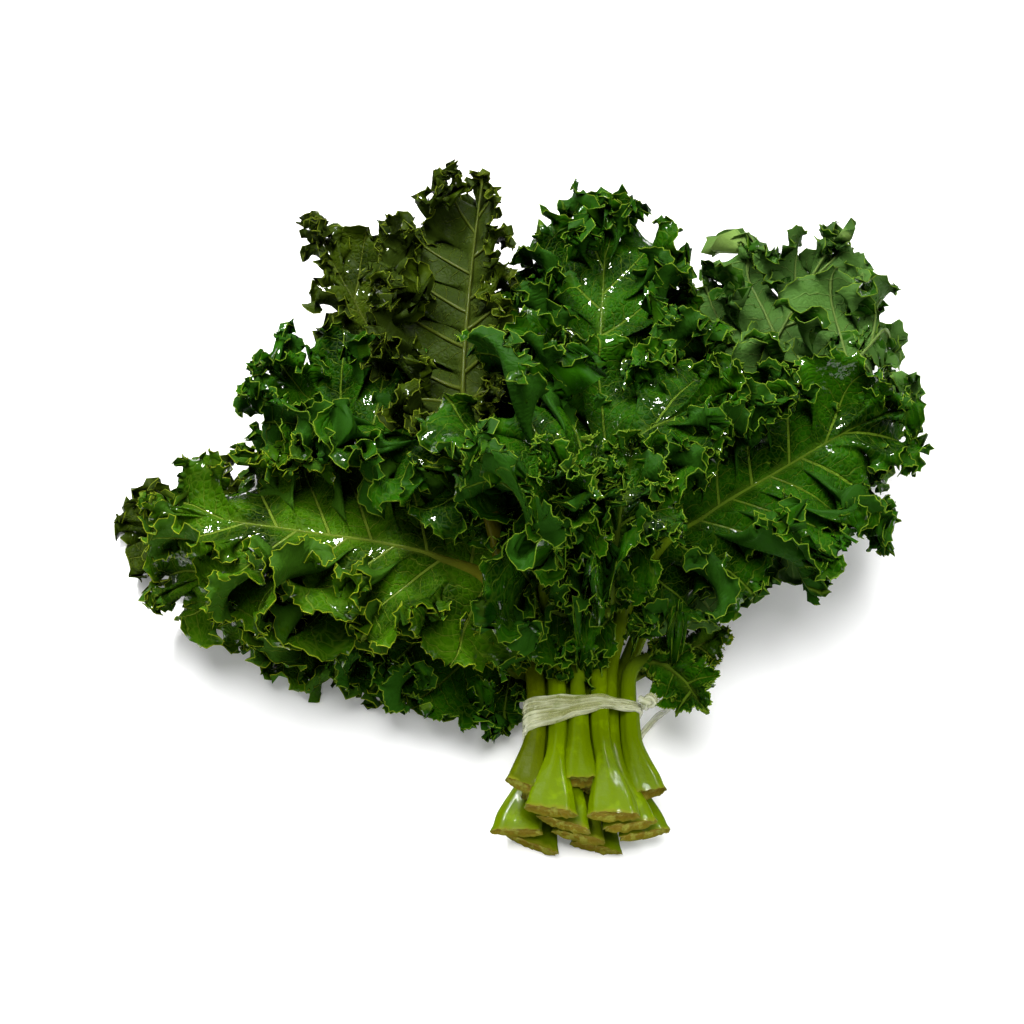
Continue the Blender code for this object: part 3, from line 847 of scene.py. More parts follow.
def srgb(*levels):
    """A colour as it is seen, on a scale to 255, turned into the light it reflects."""
    shares = [level / 255.0 for level in levels]
    return tuple(c / 12.92 if c <= 10 / 255.0 else ((c + 0.055) / 1.055) ** 2.4 for c in shares)


def dimmed(colour, share):
    return tuple(share * c for c in colour)


print("a mid green as light:", tuple(round(v, 3) for v in srgb(60, 110, 30)))

# %% [markdown]
# ## Patches of mesh
# A leaf is put together from patches: the two faces of its blade, the thin rim between them,
# the stalk, and the veins. Each patch is a grid of points with a colour coordinate of its own,
# and has a place of its own in the leaf's texture map, so that no two patches overlap there.

# %% Patches
ROWS_BY_DENSITY = ((8, (0, 8, 16, 23)), (4, (29, 34, 38, 42)), (2, (46, 49, 52, 55)), (1, (57, 60)))
FACT_NAMES = ("vein", "gap", "out", "edge", "share", "along", "aside")


class Patches:
    """Points, faces and facts that are gathered up and made into one mesh."""

    def __init__(self):
        self.points, self.places, self.facts = [], [], []
        self.faces, self.slots = [], []
        self.count = 0

    def add_points(self, points, places, facts):
        points = np.asarray(points, float).reshape(-1, 3)
        first = self.count
        self.points.append(points)
        self.places.append(np.asarray(places, float).reshape(-1, 2))
        blank = np.zeros((len(points), len(FACT_NAMES)))
        for name, values in facts.items():
            blank[:, FACT_NAMES.index(name)] = np.asarray(values, float).reshape(-1)
        self.facts.append(blank)
        self.count += len(points)
        return first

    def add_faces(self, faces, slot, flip):
        self.faces.append(faces[:, ::-1] if flip else faces)
        self.slots.append(np.full(len(faces), slot))

    def add_grid(self, points, u, v, box, slot, facts, flip=False):
        """A grid of points joined with four-sided faces. Its facts may be given for a row only."""
        shape = points.shape[:2]
        whole = {name: np.broadcast_to(values, shape) for name, values in facts.items()}
        places = chart_box(np.broadcast_to(u, shape), np.broadcast_to(v, shape), box)
        first = self.add_points(points, places, whole)
        index = first + np.arange(shape[0] * shape[1]).reshape(shape)
        quads = np.stack([index[:-1, :-1], index[:-1, 1:], index[1:, 1:], index[1:, :-1]], axis=-1)
        self.add_faces(quads.reshape(-1, 4), slot, flip)

    def to_object(self, name, materials):
        """One mesh object in metres, with its facts, its texture map and its materials."""
        points = np.vstack(self.points)
        points[:, 2] = np.maximum(points[:, 2], TABLE_SKIN - BLADE_HALF)
        points = (points - [CENTRE[0], CENTRE[1], 0.0]) * MM
        mesh = bpy.data.meshes.new(name)
        mesh.vertices.add(len(points))
        mesh.vertices.foreach_set("co", points.ravel())
        corners = np.concatenate([f.ravel() for f in self.faces])
        sizes = np.concatenate([np.full(len(f), f.shape[1]) for f in self.faces])
        mesh.loops.add(len(corners))
        mesh.loops.foreach_set("vertex_index", corners.astype(np.int32))
        mesh.polygons.add(len(sizes))
        starts = np.concatenate([[0], np.cumsum(sizes)[:-1]])
        mesh.polygons.foreach_set("loop_start", starts.astype(np.int32))
        mesh.polygons.foreach_set("material_index", np.concatenate(self.slots).astype(np.int32))
        mesh.polygons.foreach_set("use_smooth", np.ones(len(sizes), bool))
        chart = mesh.uv_layers.new(name="OFBake")
        chart.data.foreach_set("uv", np.vstack(self.places)[corners].ravel())
        facts = np.vstack(self.facts)
        for k, fact in enumerate(FACT_NAMES):
            store = mesh.attributes.new(fact, "FLOAT", "POINT")
            store.data.foreach_set("value", facts[:, k].astype(np.float32))
        mesh.update(calc_edges=True)
        mesh.validate()
        for material in materials:
            mesh.materials.append(material)
        thing = bpy.data.objects.new(name, mesh)
        bpy.context.scene.collection.objects.link(thing)
        triangles = int((sizes - 2).sum())
        return thing, triangles


def chart_box(u, v, box):
    """Places in the texture map: u and v from 0 to 1, put into a box of the map."""
    u0, v0, u1, v1 = box
    return np.stack([u0 + (u1 - u0) * u, v0 + (v1 - v0) * v], axis=-1)


def add_blade_face(patches, grid, facts, slot, box, flip):
    """One face of a blade: dense at the margin and coarser towards the midrib."""
    rays = grid.shape[0]
    deep = np.cumsum(np.concatenate([[0.0], np.linalg.norm(np.diff(grid, axis=1), axis=-1).mean(axis=0)]))
    deep = deep / deep[-1]
    rows = [(row, density) for density, group in ROWS_BY_DENSITY for row in group]
    indices = []
    for row, density in rows:
        pick = np.arange(0, rays, density)
        places = chart_box(pick / (rays - 1.0), np.full(len(pick), deep[row]), box)
        own = {name: facts[name][pick, row] for name in FACT_NAMES}
        first = patches.add_points(grid[pick, row], places, own)
        indices.append((first + np.arange(len(pick)), density))
    for (one, d1), (two, d2) in zip(indices, indices[1:]):
        if d1 == d2:
            faces = [np.stack([one[:-1], one[1:], two[1:], two[:-1]], axis=-1)]
        else:
            left, middle, right = two[0:-1:2], two[1::2], two[2::2]
            faces = [
                np.stack([one[:-1], middle, left], axis=-1),
                np.stack([one[:-1], one[1:], middle], axis=-1),
                np.stack([one[1:], right, middle], axis=-1),
            ]
        for block in faces:
            patches.add_faces(block, slot, flip)


def tube_grid(points, ups, wide, deep, around, dent=None):
    """Rings around a line of points, which stay square to it. The seam is on the underside."""
    points = np.asarray(points, float)
    ahead = unit(np.gradient(points, axis=0))
    right = unit(np.cross(ahead, ups))
    top = unit(np.cross(right, ahead))
    angle = -0.5 * math.pi + TURN * np.arange(around + 1) / around
    across, lift = np.cos(angle), np.sin(angle)
    if dent is not None:
        lift = np.where(lift > 0.0, lift - dent[:, None] * lift**3, lift)
    rings = points[:, None, :] + right[:, None, :] * (wide[:, None] * across)[..., None]
    return rings + top[:, None, :] * (deep[:, None] * lift)[..., None]


print("facts kept for the colours:", FACT_NAMES)

# %% [markdown]
# ## The tie
# The stalks are held by a strip of thin clear film that was pulled tight twice round and knotted
# at the right. Pulled film gathers into soft cords with fine pleats. Its path is what a tight
# string would take: from stalk to stalk along the outside, which is where each direction's
# furthest stalk lies.

# %% The tie's path
KNOT_RADIUS = 4.4
KNOT_ANGLE = 40.0
OUTLINE_POINTS = 150
OUTLINE_DIRECTIONS = 720
ROUTE_PARTS = 12
WHOLE_CHART = (0.0, 0.0, 1.0, 1.0)


def knot_place():
    """The knot's middle, on the upper right of the tie."""
    angle = math.radians(KNOT_ANGLE)
    out = np.array([math.cos(angle), math.sin(angle)])
    middles = np.array([slot_place(leaf) for leaf in LEAVES])
    reach = STALK_RADIUS + TIE_GAP + TIE_THICKNESS + TIE_GAP + KNOT_RADIUS
    x, z = middles[np.argmax(middles @ out)] + out * reach
    return np.array([x, 1.0, z])


def smooth_route(points, step):
    """Points about one step apart on a smooth curve through the given points."""
    points = np.array(points, float)
    padded = np.vstack([2 * points[0] - points[1], points, 2 * points[-1] - points[-2]])
    fine = []
    for p0, p1, p2, p3 in zip(padded, padded[1:], padded[2:], padded[3:]):
        for t in np.linspace(0.0, 1.0, ROUTE_PARTS, endpoint=False):
            fine.append(0.5 * (2 * p1 + (p2 - p0) * t + (2 * p0 - 5 * p1 + 4 * p2 - p3) * t**2
                               + (3 * p1 - p0 - 3 * p2 + p3) * t**3))
    fine = np.array(fine + [points[-1]])
    along = travelled(fine)
    at = np.linspace(0.0, along[-1], max(2, round(along[-1] / step) + 1))
    return np.stack([np.interp(at, along, fine[:, k]) for k in range(3)], axis=1)


def taut_outline():
    """The line that film takes when it is pulled tight round the stalks, and its outward side."""
    middles = np.array([slot_place(leaf) for leaf in LEAVES])
    corners = []
    for k in range(OUTLINE_DIRECTIONS):
        angle = TURN * k / OUTLINE_DIRECTIONS
        out = np.array([math.cos(angle), math.sin(angle)])
        corners.append(middles[np.argmax(middles @ out)] + out * (STALK_RADIUS + TIE_GAP))
    corners = np.array(corners + corners[:1])
    along = travelled(corners)
    at = np.linspace(0.0, along[-1], OUTLINE_POINTS, endpoint=False)
    line = np.stack([np.interp(at, along, corners[:, k]) for k in range(2)], axis=1)
    ahead = np.roll(line, -1, axis=0) - np.roll(line, 1, axis=0)
    outward = unit(np.stack([ahead[:, 1], -ahead[:, 0]], axis=1))
    return line, outward, at


def film_finish():
    """Thin clear film, painted whiter on its pleats as a highlight, and duller between them."""
    recipe = Recipe("tie_film")
    pleat = recipe.noise(recipe.join(recipe.fact("along") * 0.05, recipe.fact("aside")), 0.40, 2.0, 0.5)
    creases = recipe.noise(recipe.place(), 260.0, 3.0)
    # The ridges of the pleats are painted whiter: a painted highlight.
    light = recipe.fade(pleat + creases * 0.15, 0.70, 0.45)
    colour = recipe.mix(light, srgb(156, 160, 92), srgb(226, 230, 194))
    recipe.bump(pleat + creases * 0.12, 0.0014)
    return recipe.finish(colour, 0.16, Alpha=0.46, Coat_Weight=0.7, Coat_Roughness=0.05)


film = film_finish()
print("the knot's middle (mm):", np.round(knot_place(), 1))

# %% [markdown]
# ## The strands
# The film goes round in four strands. They lie close together at the knot and spread apart on
# the far side. Each is a closed ribbon whose top is pleated by a folded sine, so that the light
# catches its ridges. A flat band with lines painted on it would look like a label.

# %% Strands
STRANDS = ((-7.2, 5.2, 0.4), (-2.6, 6.6, 1.9), (3.6, 5.6, 3.1), (7.6, 4.6, 4.6))
TIE_SLANT = 0.18
PROFILE_POINTS = 17


def tie_strands():
    """The gathered cords of film round the stalks, each pleated along its length."""
    line, outward, at = taut_outline()
    patches = Patches()
    turn = TURN * np.arange(OUTLINE_POINTS) / OUTLINE_POINTS
    knot = knot_place()
    nearest = int(np.argmin(np.hypot(line[:, 0] - knot[0], line[:, 1] - knot[2])))
    apart = 0.5 - 0.5 * np.cos(turn - turn[nearest])
    profile = np.linspace(-1.0, 1.0, PROFILE_POINTS)
    for number, (middle, wide, start) in enumerate(STRANDS):
        y = 1.0 + TIE_SLANT * (line[:, 0] - knot[0]) + middle * (0.20 + 0.72 * apart)
        y += 0.9 * np.sin(2.0 * turn + start) * apart + 0.3 * np.sin(9.0 * turn + start)
        half = 0.5 * wide * (0.50 + 0.65 * apart) * (1.0 + 0.10 * np.sin(5.0 * turn + start))
        sway = 0.30 * np.sin(3.0 * turn + start) + 0.14 * np.sin(11.0 * turn + 2.0 * start)
        ridge = np.abs(np.sin(1.15 * math.pi * (profile[None, :] + sway[:, None]) + start)) ** 0.7
        ridge = ridge + 0.25 * np.sin(6.0 * profile[None, :] + 5.0 * np.sin(4.0 * turn + start)[:, None])
        crown = np.sqrt(np.maximum(1.0 - profile[None, :] ** 2, 0.0))
        top = 0.20 + crown * (0.45 + 1.05 * np.maximum(ridge, 0.0)) + 0.30 * (number % 2)
        low = np.full_like(top, 0.06 + 0.24 * (number % 2))
        layers = np.concatenate([top, low[:, ::-1]], axis=1)
        across = np.concatenate([profile, profile[::-1]])
        flat = line[:, None, :] + outward[:, None, :] * layers[..., None]
        points = np.stack([flat[..., 0], y[:, None] + half[:, None] * across, flat[..., 1]], axis=-1)
        points = np.concatenate([points, points[:1]], axis=0)
        points = np.concatenate([points, points[:, :1]], axis=1)
        u = np.linspace(0.0, 1.0, points.shape[0])[:, None]
        v = (number + 0.02 + 0.94 * np.linspace(0.0, 1.0, points.shape[1])) / (len(STRANDS) + 1.0)
        aside = np.append(across, across[0]) * 0.5 * wide + 9.0 * number
        patches.add_grid(points, u, v, WHOLE_CHART, 0, dict(along=u * at[-1], aside=aside))
    return patches


strands, count = tie_strands().to_object("tie_wrap", [film])
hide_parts("tie_wrap")
print("strands:", len(STRANDS), "with", count, "triangles")

# %% [markdown]
# ## The knot and the loose end
# Both are the same film, twisted into a thin tube. The knot is an overhand knot drawn up small.
# The loose end makes a limp loop beside the stalks. Its route and its length are the
# solid part's own.

# %% Knot and loose end
KNOT_POINTS = 121
KNOT_STRAND_RADIUS = 1.75
TUBE_SIDES = 16
LOOP_DIAMETER = 3.2
LOOP_ROUTE = (
    (4.9, 0.3, -1.3),
    (8.6, 1.6, -4.6),
    (10.6, 4.2, -12.0),
    (9.6, 7.0, -20.0),
    (6.4, 7.6, -26.2),
    (2.6, 4.2, -28.1),
    (-1.6, -1.6, -28.2),
    (-4.6, -7.6, -28.2),
)


def pleated_tube(line, radius, rng, folds=3):
    """A tube of twisted film: its pleats wind round it as it goes."""
    travel = travelled(line)
    ahead = unit(np.gradient(line, axis=0))
    ups = np.zeros_like(line)
    ups[:, 0], ups[:, 1] = 0.31, 0.95
    ups = unit(ups - ahead * (ups * ahead).sum(1, keepdims=True))
    wide = np.full(len(line), radius)
    rings = tube_grid(line, ups, wide, wide, TUBE_SIDES)
    share = np.arange(TUBE_SIDES + 1) / float(TUBE_SIDES)
    angle = TURN * np.arange(TUBE_SIDES + 1) / float(TUBE_SIDES)
    wind = folds * angle + 0.33 * travel[:, None] + rng.random() * 6.0
    swell = 1.0 - 0.30 * np.sin(0.5 * wind) ** 8 + 0.06 * np.sin(0.9 * travel[:, None] + 2.0 * angle)
    rings = line[:, None, :] + (rings - line[:, None, :]) * swell[..., None]
    facts = dict(along=travel[:, None] * 0.6, aside=2.0 * wind / folds)
    patches = Patches()
    patches.add_grid(rings, (travel / travel[-1])[:, None], share, WHOLE_CHART, 0, facts, flip=True)
    return patches


def tie_knot_line():
    """An overhand knot's line, drawn up small."""
    t = np.linspace(0.0, TURN, KNOT_POINTS)
    x = np.sin(t) + 2.0 * np.sin(2.0 * t)
    y = -np.sin(3.0 * t) * 1.1
    z = np.cos(t) - 2.0 * np.cos(2.0 * t)
    return knot_place() + np.stack([x, y, z], 1) * (KNOT_RADIUS / 3.0) * 0.78


tie_rng = np.random.default_rng(5)
knot_patches = pleated_tube(tie_knot_line(), KNOT_STRAND_RADIUS, tie_rng)
knot, knot_count = knot_patches.to_object("tie_knot", [film])
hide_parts("tie_knot")
fine_route = smooth_route(np.array(LOOP_ROUTE) + knot_place(), 1.0)
loop, loop_count = pleated_tube(fine_route, 0.5 * LOOP_DIAMETER, tie_rng).to_object("tie_loop", [film])
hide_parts("tie_loop")
for piece in (strands, knot, loop):
    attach(piece, "root")

# %% [markdown]
# ## The stalk
# A kale stalk is stout, faintly ridged, and grooved on its upper side. It flares towards the
# plant's stem. It runs on as the midrib and thins to nothing at the leaf's tip. So it is a tube
# round a line, with rings whose width, depth and groove change along the way. A leaf's patches
# have their own boxes in its texture map.

# %% Growing a stalk
STALK_SIDES = 14
FOOT_SIDES = 36
VEIN_SIDES = 6
VEIN_FACTS = dict(share=0.85, along=150.0, edge=100.0)
SEEN_SPREAD = 0.52
STALK_STEP = 2.0
RIB_OPENING = 40.0
RIB_END = 0.985
RIB_SINK = 0.42
LIP_LENGTH = 3.0
JAG_LENGTH = 7.0
KNIFE_SLANT = 0.3
SLOT_STALK, SLOT_UPPER, SLOT_UNDER, SLOT_MARGIN, SLOT_CUT = range(5)
CHART_UPPER = (0.005, 0.005, 0.995, 0.40)
CHART_UNDER = (0.005, 0.41, 0.995, 0.80)
CHART_RIM = (0.005, 0.81, 0.995, 0.82)
CHART_STALK = (0.25, 0.83, 0.995, 0.92)
CHART_FOOT = (0.005, 0.83, 0.24, 0.92)
CHART_VEINS = (0.005, 0.93, 0.90, 0.995)
CHART_CUT = (0.92, 0.93, 0.995, 0.995)


def stalk_line(leaf, field):
    """The middle line of a stalk and midrib, from the cut end to the tip."""
    x0, z0 = slot_place(leaf)
    cut = cut_end(leaf)
    below = np.arange(-cut, -STRAIGHT + 0.1, STALK_STEP)
    spread = smoothstep(0.0, LONG_CUT, -below - TIE_HALF_LENGTH)
    above_lowest = (z0 - LOWEST_STALK_Z) * (1.0 + END_LIFT * spread)
    z = above_lowest + FOOT_DEPTH + (LOWEST_STALK_Z - FOOT_DEPTH) * (1.0 - spread)
    foot = np.stack([x0 * (1.0 + SEEN_SPREAD * spread), below, z], axis=-1)
    path_a, px, py, _ = plan_path(leaf)
    beyond = np.arange(STRAIGHT, leaf["length"] * RIB_END, STALK_STEP)
    x, y = np.interp(beyond, path_a, px), np.interp(beyond, path_a, py)
    z = height_at(field, x, y)
    radius = stalk_radius(leaf, beyond)
    opened = smoothstep(leaf["start"], leaf["start"] + RIB_OPENING, beyond)
    sink = -RIB_SINK if leaf["flip"] else RIB_SINK
    z = np.maximum(z - sink * radius * opened, radius * 0.9 + TABLE_SKIN)
    rib = np.stack([x, y, z], axis=-1)
    line = np.vstack([foot, rib])
    at = np.concatenate([below, beyond])
    # The line is eased a little, since the height field it lies on has small steps
    for _ in range(3):
        line[1:-1] = 0.25 * line[:-2] + 0.5 * line[1:-1] + 0.25 * line[2:]
    return at, line


def add_tube(patches, leaf, at, line, sides, box, rng, ragged_cut):
    """One stretch of a stalk, along its line. The distances are measured from the tie."""
    cut = cut_end(leaf)
    foot = smoothstep(cut - FOOT_LENGTH * 1.9, cut, -at)
    widest = LONG_FOOT_WIDTH if is_long(leaf) else SHORT_FOOT_WIDTH
    radius = stalk_radius(leaf, np.maximum(at, 0.0))
    opened = smoothstep(leaf["start"], leaf["start"] + 0.3 * (leaf["length"] - leaf["start"]), at)
    wide = radius * (1.0 - 0.55 * opened) + (widest + 0.8 - STALK_RADIUS) * foot
    deep = radius * (1.0 - 0.22 * opened) + (FOOT_DEPTH - STALK_RADIUS) * foot
    dent = 0.22 * smoothstep(8.0, 30.0, at) * (1.0 - smoothstep(0.3, 0.7, opened)) + 0.42 * foot
    ups = np.zeros_like(line)
    ups[:, 2] = 1.0
    rings = tube_grid(line, ups, wide, deep, sides, dent)
    angle = TURN * np.arange(sides + 1) / sides
    shift = rng.random() * 6.0
    ridge = 1.0 + 0.04 * np.cos(7.0 * angle + shift) * (1.0 - 0.5 * opened)[:, None]
    ridge += 0.05 * np.cos(3.0 * angle + shift)[None, :] * foot[:, None]
    ridge += 0.02 * np.sin(0.11 * at[:, None] + 2.0 * np.sin(angle)[None, :] + shift)
    if ragged_cut:
        # The skin curls out a little in a torn lip, and a knife never cuts quite square
        lip = smoothstep(-cut + LIP_LENGTH, -cut, at)[:, None]
        torn = wander(rng, angle / TURN, 5.0)[None, :]
        ridge += lip * (0.07 + 0.07 * torn)
    rings = line[:, None, :] + (rings - line[:, None, :]) * ridge[..., None]
    if ragged_cut:
        near_end = smoothstep(-cut + JAG_LENGTH, -cut, at)
        across = rings[..., 0] - line[:, None, 0]
        jag = 1.3 * np.abs(wander(rng, angle / TURN, 4.0)) + 0.5 * wander(rng, angle / 6.3, 11.0)
        slant = rng.uniform(-KNIFE_SLANT, KNIFE_SLANT)
        rings[..., 1] += (across * slant - jag[None, :]) * near_end[:, None]
    rings[..., 2] = np.maximum(rings[..., 2], TABLE_SKIN)
    at = at[:, None]
    u, v = (at - at[0]) / (at[-1] - at[0]), np.arange(sides + 1) / sides
    facts = dict(share=np.clip(at / leaf["length"], -1.0, 1.0), along=at, out=v, edge=at + cut)
    patches.add_grid(rings, u, v, box, SLOT_STALK, facts, flip=True)
    return rings


print("sides of a stalk:", STALK_SIDES, "and of its foot:", FOOT_SIDES)

# %% [markdown]
# ## The cut end
# The stalk was cut with a knife where it is widest, so the end is a crescent of paler, fibrous
# flesh inside a thin skin, with a torn lip. The face is a fan of rings that shrink inwards and
# sink a little, because a cut stalk dries hollow.

# %% Cut end
FACE_SCALES = np.array([1.0, 0.9, 0.8, 0.62, 0.4, 0.2, 0.02])
FACE_HOLLOW = np.array([0.0, 0.5, 1.3, 1.6, 1.2, 1.5, 1.5])


def add_stalk(patches, leaf, field, rng):
    """The stalk below the tie, its cut face, and the part above, which becomes the midrib."""
    known, known_line = stalk_line(leaf, field)
    cut = cut_end(leaf)

    def line_at(at):
        return np.stack([np.interp(at, known, known_line[:, k]) for k in range(3)], axis=1)

    low = np.concatenate([np.arange(-cut, -cut + 8.0, 1.0), np.arange(-cut + 8.0, 1.0, 3.0)])
    rings = add_tube(patches, leaf, low, line_at(low), FOOT_SIDES, CHART_FOOT, rng, True)
    high = np.arange(-3.0, known[-1], 3.0)
    add_tube(patches, leaf, high, line_at(high), STALK_SIDES, CHART_STALK, rng, False)
    angle = TURN * np.arange(FOOT_SIDES + 1) / FOOT_SIDES
    first = line_at(low[:1])[0]
    face = []
    for scale, depth in zip(FACE_SCALES, FACE_HOLLOW):
        ring = first + (rings[0] - first) * scale
        ring[:, 1] += depth + 0.5 * wander(rng, angle / 6.3, 6.0) * (depth > 0.0)
        face.append(ring)
    scales = FACE_SCALES[:, None]
    u, v = 0.5 + 0.5 * scales * np.cos(angle), 0.5 + 0.5 * scales * np.sin(angle)
    patches.add_grid(np.array(face), u, v, CHART_CUT, SLOT_CUT, dict(share=scales))


print("rings on a cut face:", len(FACE_SCALES))

# %% [markdown]
# ## Side veins and the whole leaf
# Each lobe has a side vein that stands proud near the midrib and sinks into the blade further
# out. It is a thin tube that follows the blade's own ray, so it bends with the lobe. The whole
# leaf is then put together as one object: two faces, the rim between them, stalk and veins.

# %% Side veins and the whole leaf
STALK_SEED = 500
VEIN_REACH = 0.70
VEIN_ROW_STEP = 5


def add_side_veins(patches, leaf, grid, normal, veins, sigma):
    """The raised side veins. Each lies where the count of veins passes a half."""
    turned = -1.0 if leaf["flip"] else 1.0
    found = []
    for k in range(len(sigma) - 1):
        a, b = veins[k] - 0.5, veins[k + 1] - 0.5
        if math.floor(a) != math.floor(b) and abs(b - a) < 0.3 and abs(sigma[k] - 1.0) > 0.04:
            level = max(math.floor(a), math.floor(b))
            found.append(k + (level - a) / (b - a))
    rows = np.arange(0, int(FINE_ROWS * VEIN_REACH), VEIN_ROW_STEP)
    for number, place in enumerate(found):
        k = int(place)
        mix = place - k
        line = grid[k, rows] * (1.0 - mix) + grid[k + 1, rows] * mix
        ups = unit(normal[k, rows] * (1.0 - mix) + normal[k + 1, rows] * mix)
        s = 1.0 - abs(1.0 - sigma[k])
        stout = 0.45 + 0.85 * (1.0 - s)
        radius = stout * (1.0 - np.arange(len(rows)) / len(rows)) ** 0.7 + 0.18
        line = line - ups * turned * (radius * 0.45)[:, None]
        rings = tube_grid(line, ups, radius, radius, VEIN_SIDES)
        u = (number + 0.04 + 0.92 * np.linspace(0.0, 1.0, len(rows))[:, None]) / len(found)
        v = np.linspace(0.0, 1.0, VEIN_SIDES + 1)
        patches.add_grid(rings, u, v, CHART_VEINS, SLOT_STALK, VEIN_FACTS, flip=True)
    return len(found)


def grow_leaf(leaf, field, room, seed, materials):
    """One whole leaf as one object."""
    rng = np.random.default_rng(seed + STALK_SEED)
    sigma, teeth, margin = spaced_rays(leaf, field, room, seed)
    grid, facts, veins = grow_blade(leaf, field, room, seed, sigma, teeth)
    normal, _, _ = frame_of(grid)
    patches = Patches()
    top, bottom = (SLOT_UNDER, SLOT_UPPER) if leaf["flip"] else (SLOT_UPPER, SLOT_UNDER)
    add_blade_face(patches, grid + normal * BLADE_HALF, facts, top, CHART_UPPER, False)
    add_blade_face(patches, grid - normal * BLADE_HALF, facts, bottom, CHART_UNDER, True)
    thick = normal[:, -1] * BLADE_HALF
    rim = np.stack([grid[:, -1] + thick, grid[:, -1] - thick])
    u = np.linspace(0.0, 1.0, len(grid))
    patches.add_grid(rim, u, [[0.0], [1.0]], CHART_RIM, SLOT_MARGIN, dict(share=1.0), flip=True)
    add_stalk(patches, leaf, field, rng)
    side_veins = add_side_veins(patches, leaf, grid, normal, veins, sigma)
    thing, triangles = patches.to_object(leaf["name"], materials)
    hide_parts(leaf["name"])
    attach(thing, "root")
    "kale_" + leaf["tone"]
    return triangles, side_veins, margin


print("parts of a leaf:", SLOT_CUT + 1)

# %% [markdown]
# ## Leaf finishes
# The upper side is a deep waxy green with pale veins sunk into it. The side veins follow the
# rays of the blade, smaller veins leave them like the barbs of a feather, and a fine net fills
# the rest. The underside is greyer and paler, and its veins stand proud. The margin is thin and
# yellow-green: partly its own paler colour, partly painted light shining through the thin edge.
# Wet patches are glossier than dry ones.

# %% Leaf finishes
TONES = dict(
    dark=dict(deep=srgb(4, 26, 0), light=srgb(32, 76, 2), under=srgb(34, 72, 12), vein=srgb(86, 112, 26),
              margin=srgb(112, 138, 34), stalk=srgb(138, 170, 0), stain=srgb(112, 140, 10)),
    mid=dict(deep=srgb(12, 35, 0), light=srgb(50, 88, 2), under=srgb(50, 86, 16), vein=srgb(104, 126, 36),
             margin=srgb(134, 148, 30), stalk=srgb(122, 150, 0), stain=srgb(96, 84, 18)),
    olive=dict(deep=srgb(15, 28, 1), light=srgb(46, 62, 4), under=srgb(40, 54, 10), vein=srgb(72, 84, 22),
               margin=srgb(98, 112, 24), stalk=srgb(112, 130, 2), stain=srgb(60, 44, 14)),
    pale=dict(deep=srgb(10, 38, 3), light=srgb(38, 78, 8), under=srgb(68, 102, 42), vein=srgb(106, 132, 62),
              margin=srgb(106, 134, 38), stalk=srgb(124, 156, 2), stain=srgb(116, 138, 26)),
)
BARB_SPACING = 7.0
NET_SPACING = 2.6
DROPLET_DEPTH = 0.0005


def vein_masks(recipe):
    """How much a place is side vein, barb and line of the net, from 0 to 1, and the net's cells."""
    away = abs(recipe.math("FRACT", recipe.fact("vein")) - 0.5) * recipe.fact("gap")
    flat = recipe.join(recipe.fact("along"), recipe.fact("aside"))
    thick = (1.0 - recipe.fact("share")) * 0.65
    side = recipe.fade(away - thick, 0.05, 0.40)
    climb = (recipe.fact("out") - away * 0.85) / BARB_SPACING + recipe.noise(flat, 0.12, 2.0) * 1.2
    barb = abs(recipe.math("FRACT", climb) - 0.5) * BARB_SPACING
    barb = recipe.fade(barb, 0.10, 0.42) * recipe.fade(away, 4.0, 15.0)
    net = recipe.cells(flat, 1.0 / NET_SPACING)
    return side, barb, recipe.fade(net, 0.02, 0.12), net


def leaf_face(name, tone, upper):
    """The upper side is dark and wet, and the underside pale and matt."""
    recipe = Recipe(name)
    side, barb, line, net = vein_masks(recipe)
    spot = recipe.place()
    broad = recipe.noise(spot, 38.0, 3.0)
    fine = recipe.noise(spot, 420.0, 4.0, 0.6)
    wet = recipe.fade(recipe.noise(spot, 150.0, 2.0), 0.60, 0.54)
    rib = recipe.fade(recipe.fact("out"), 1.2, 4.5) * 0.22
    if upper:
        # Within 9 mm of the margin the upper side is painted lighter: a painted sheen.
        margin_sheen = recipe.fade(recipe.fact("edge"), 0.0, 9.0)
        base = recipe.mix(recipe.fade(broad, 0.68, 0.32), tone["light"], tone["deep"])
        base = recipe.mix(margin_sheen * 0.42, base, tone["light"])
        pale = recipe.most(side * 0.80, barb * 0.50, line * 0.12, rib)
    else:
        base = recipe.mix(recipe.fade(broad, 0.70, 0.30), tone["under"], dimmed(tone["under"], 0.72))
        base = recipe.mix(line * 0.35, base, dimmed(tone["under"], 0.8))
        pale = recipe.most(side * 0.85, barb * 0.50, rib)
    base = recipe.mix(pale, base, tone["vein"])
    # The thin margin is yellow-green: partly its own paler colour, partly painted light shining through the
    # thin edge.
    base = recipe.mix(recipe.fade(recipe.fact("edge"), 0.10, 0.50), base, tone["margin"])
    vein_lift = -0.9 if upper else 1.2
    height = recipe.fade(net, 0.30, 0.0) * (0.30 if upper else 0.12) + fine * 0.30
    recipe.bump(height + side * vein_lift + barb * (0.45 * vein_lift), 0.0013)
    if not upper:
        return recipe.finish(base, wet * 0.12 + 0.50, Coat_Weight=0.0, Specular_IOR_Level=0.01)
    recipe.bump(recipe.noise(spot, 420.0, 1.0), DROPLET_DEPTH, "Coat Normal")
    return recipe.finish(
        base, fine * 0.15 + 0.40, Coat_Weight=wet * 0.95, Coat_Roughness=0.04, Specular_IOR_Level=0.01)


def margin_finish(name, tone):
    """The thin rim, yellow-green in patches: partly its own colour, partly painted light through it."""
    recipe = Recipe(name)
    patchy = recipe.noise(recipe.place(), 150.0, 2.0)
    return recipe.finish(recipe.mix(patchy, tone["margin"], tone["light"]), 0.5, Specular_IOR_Level=0.01)


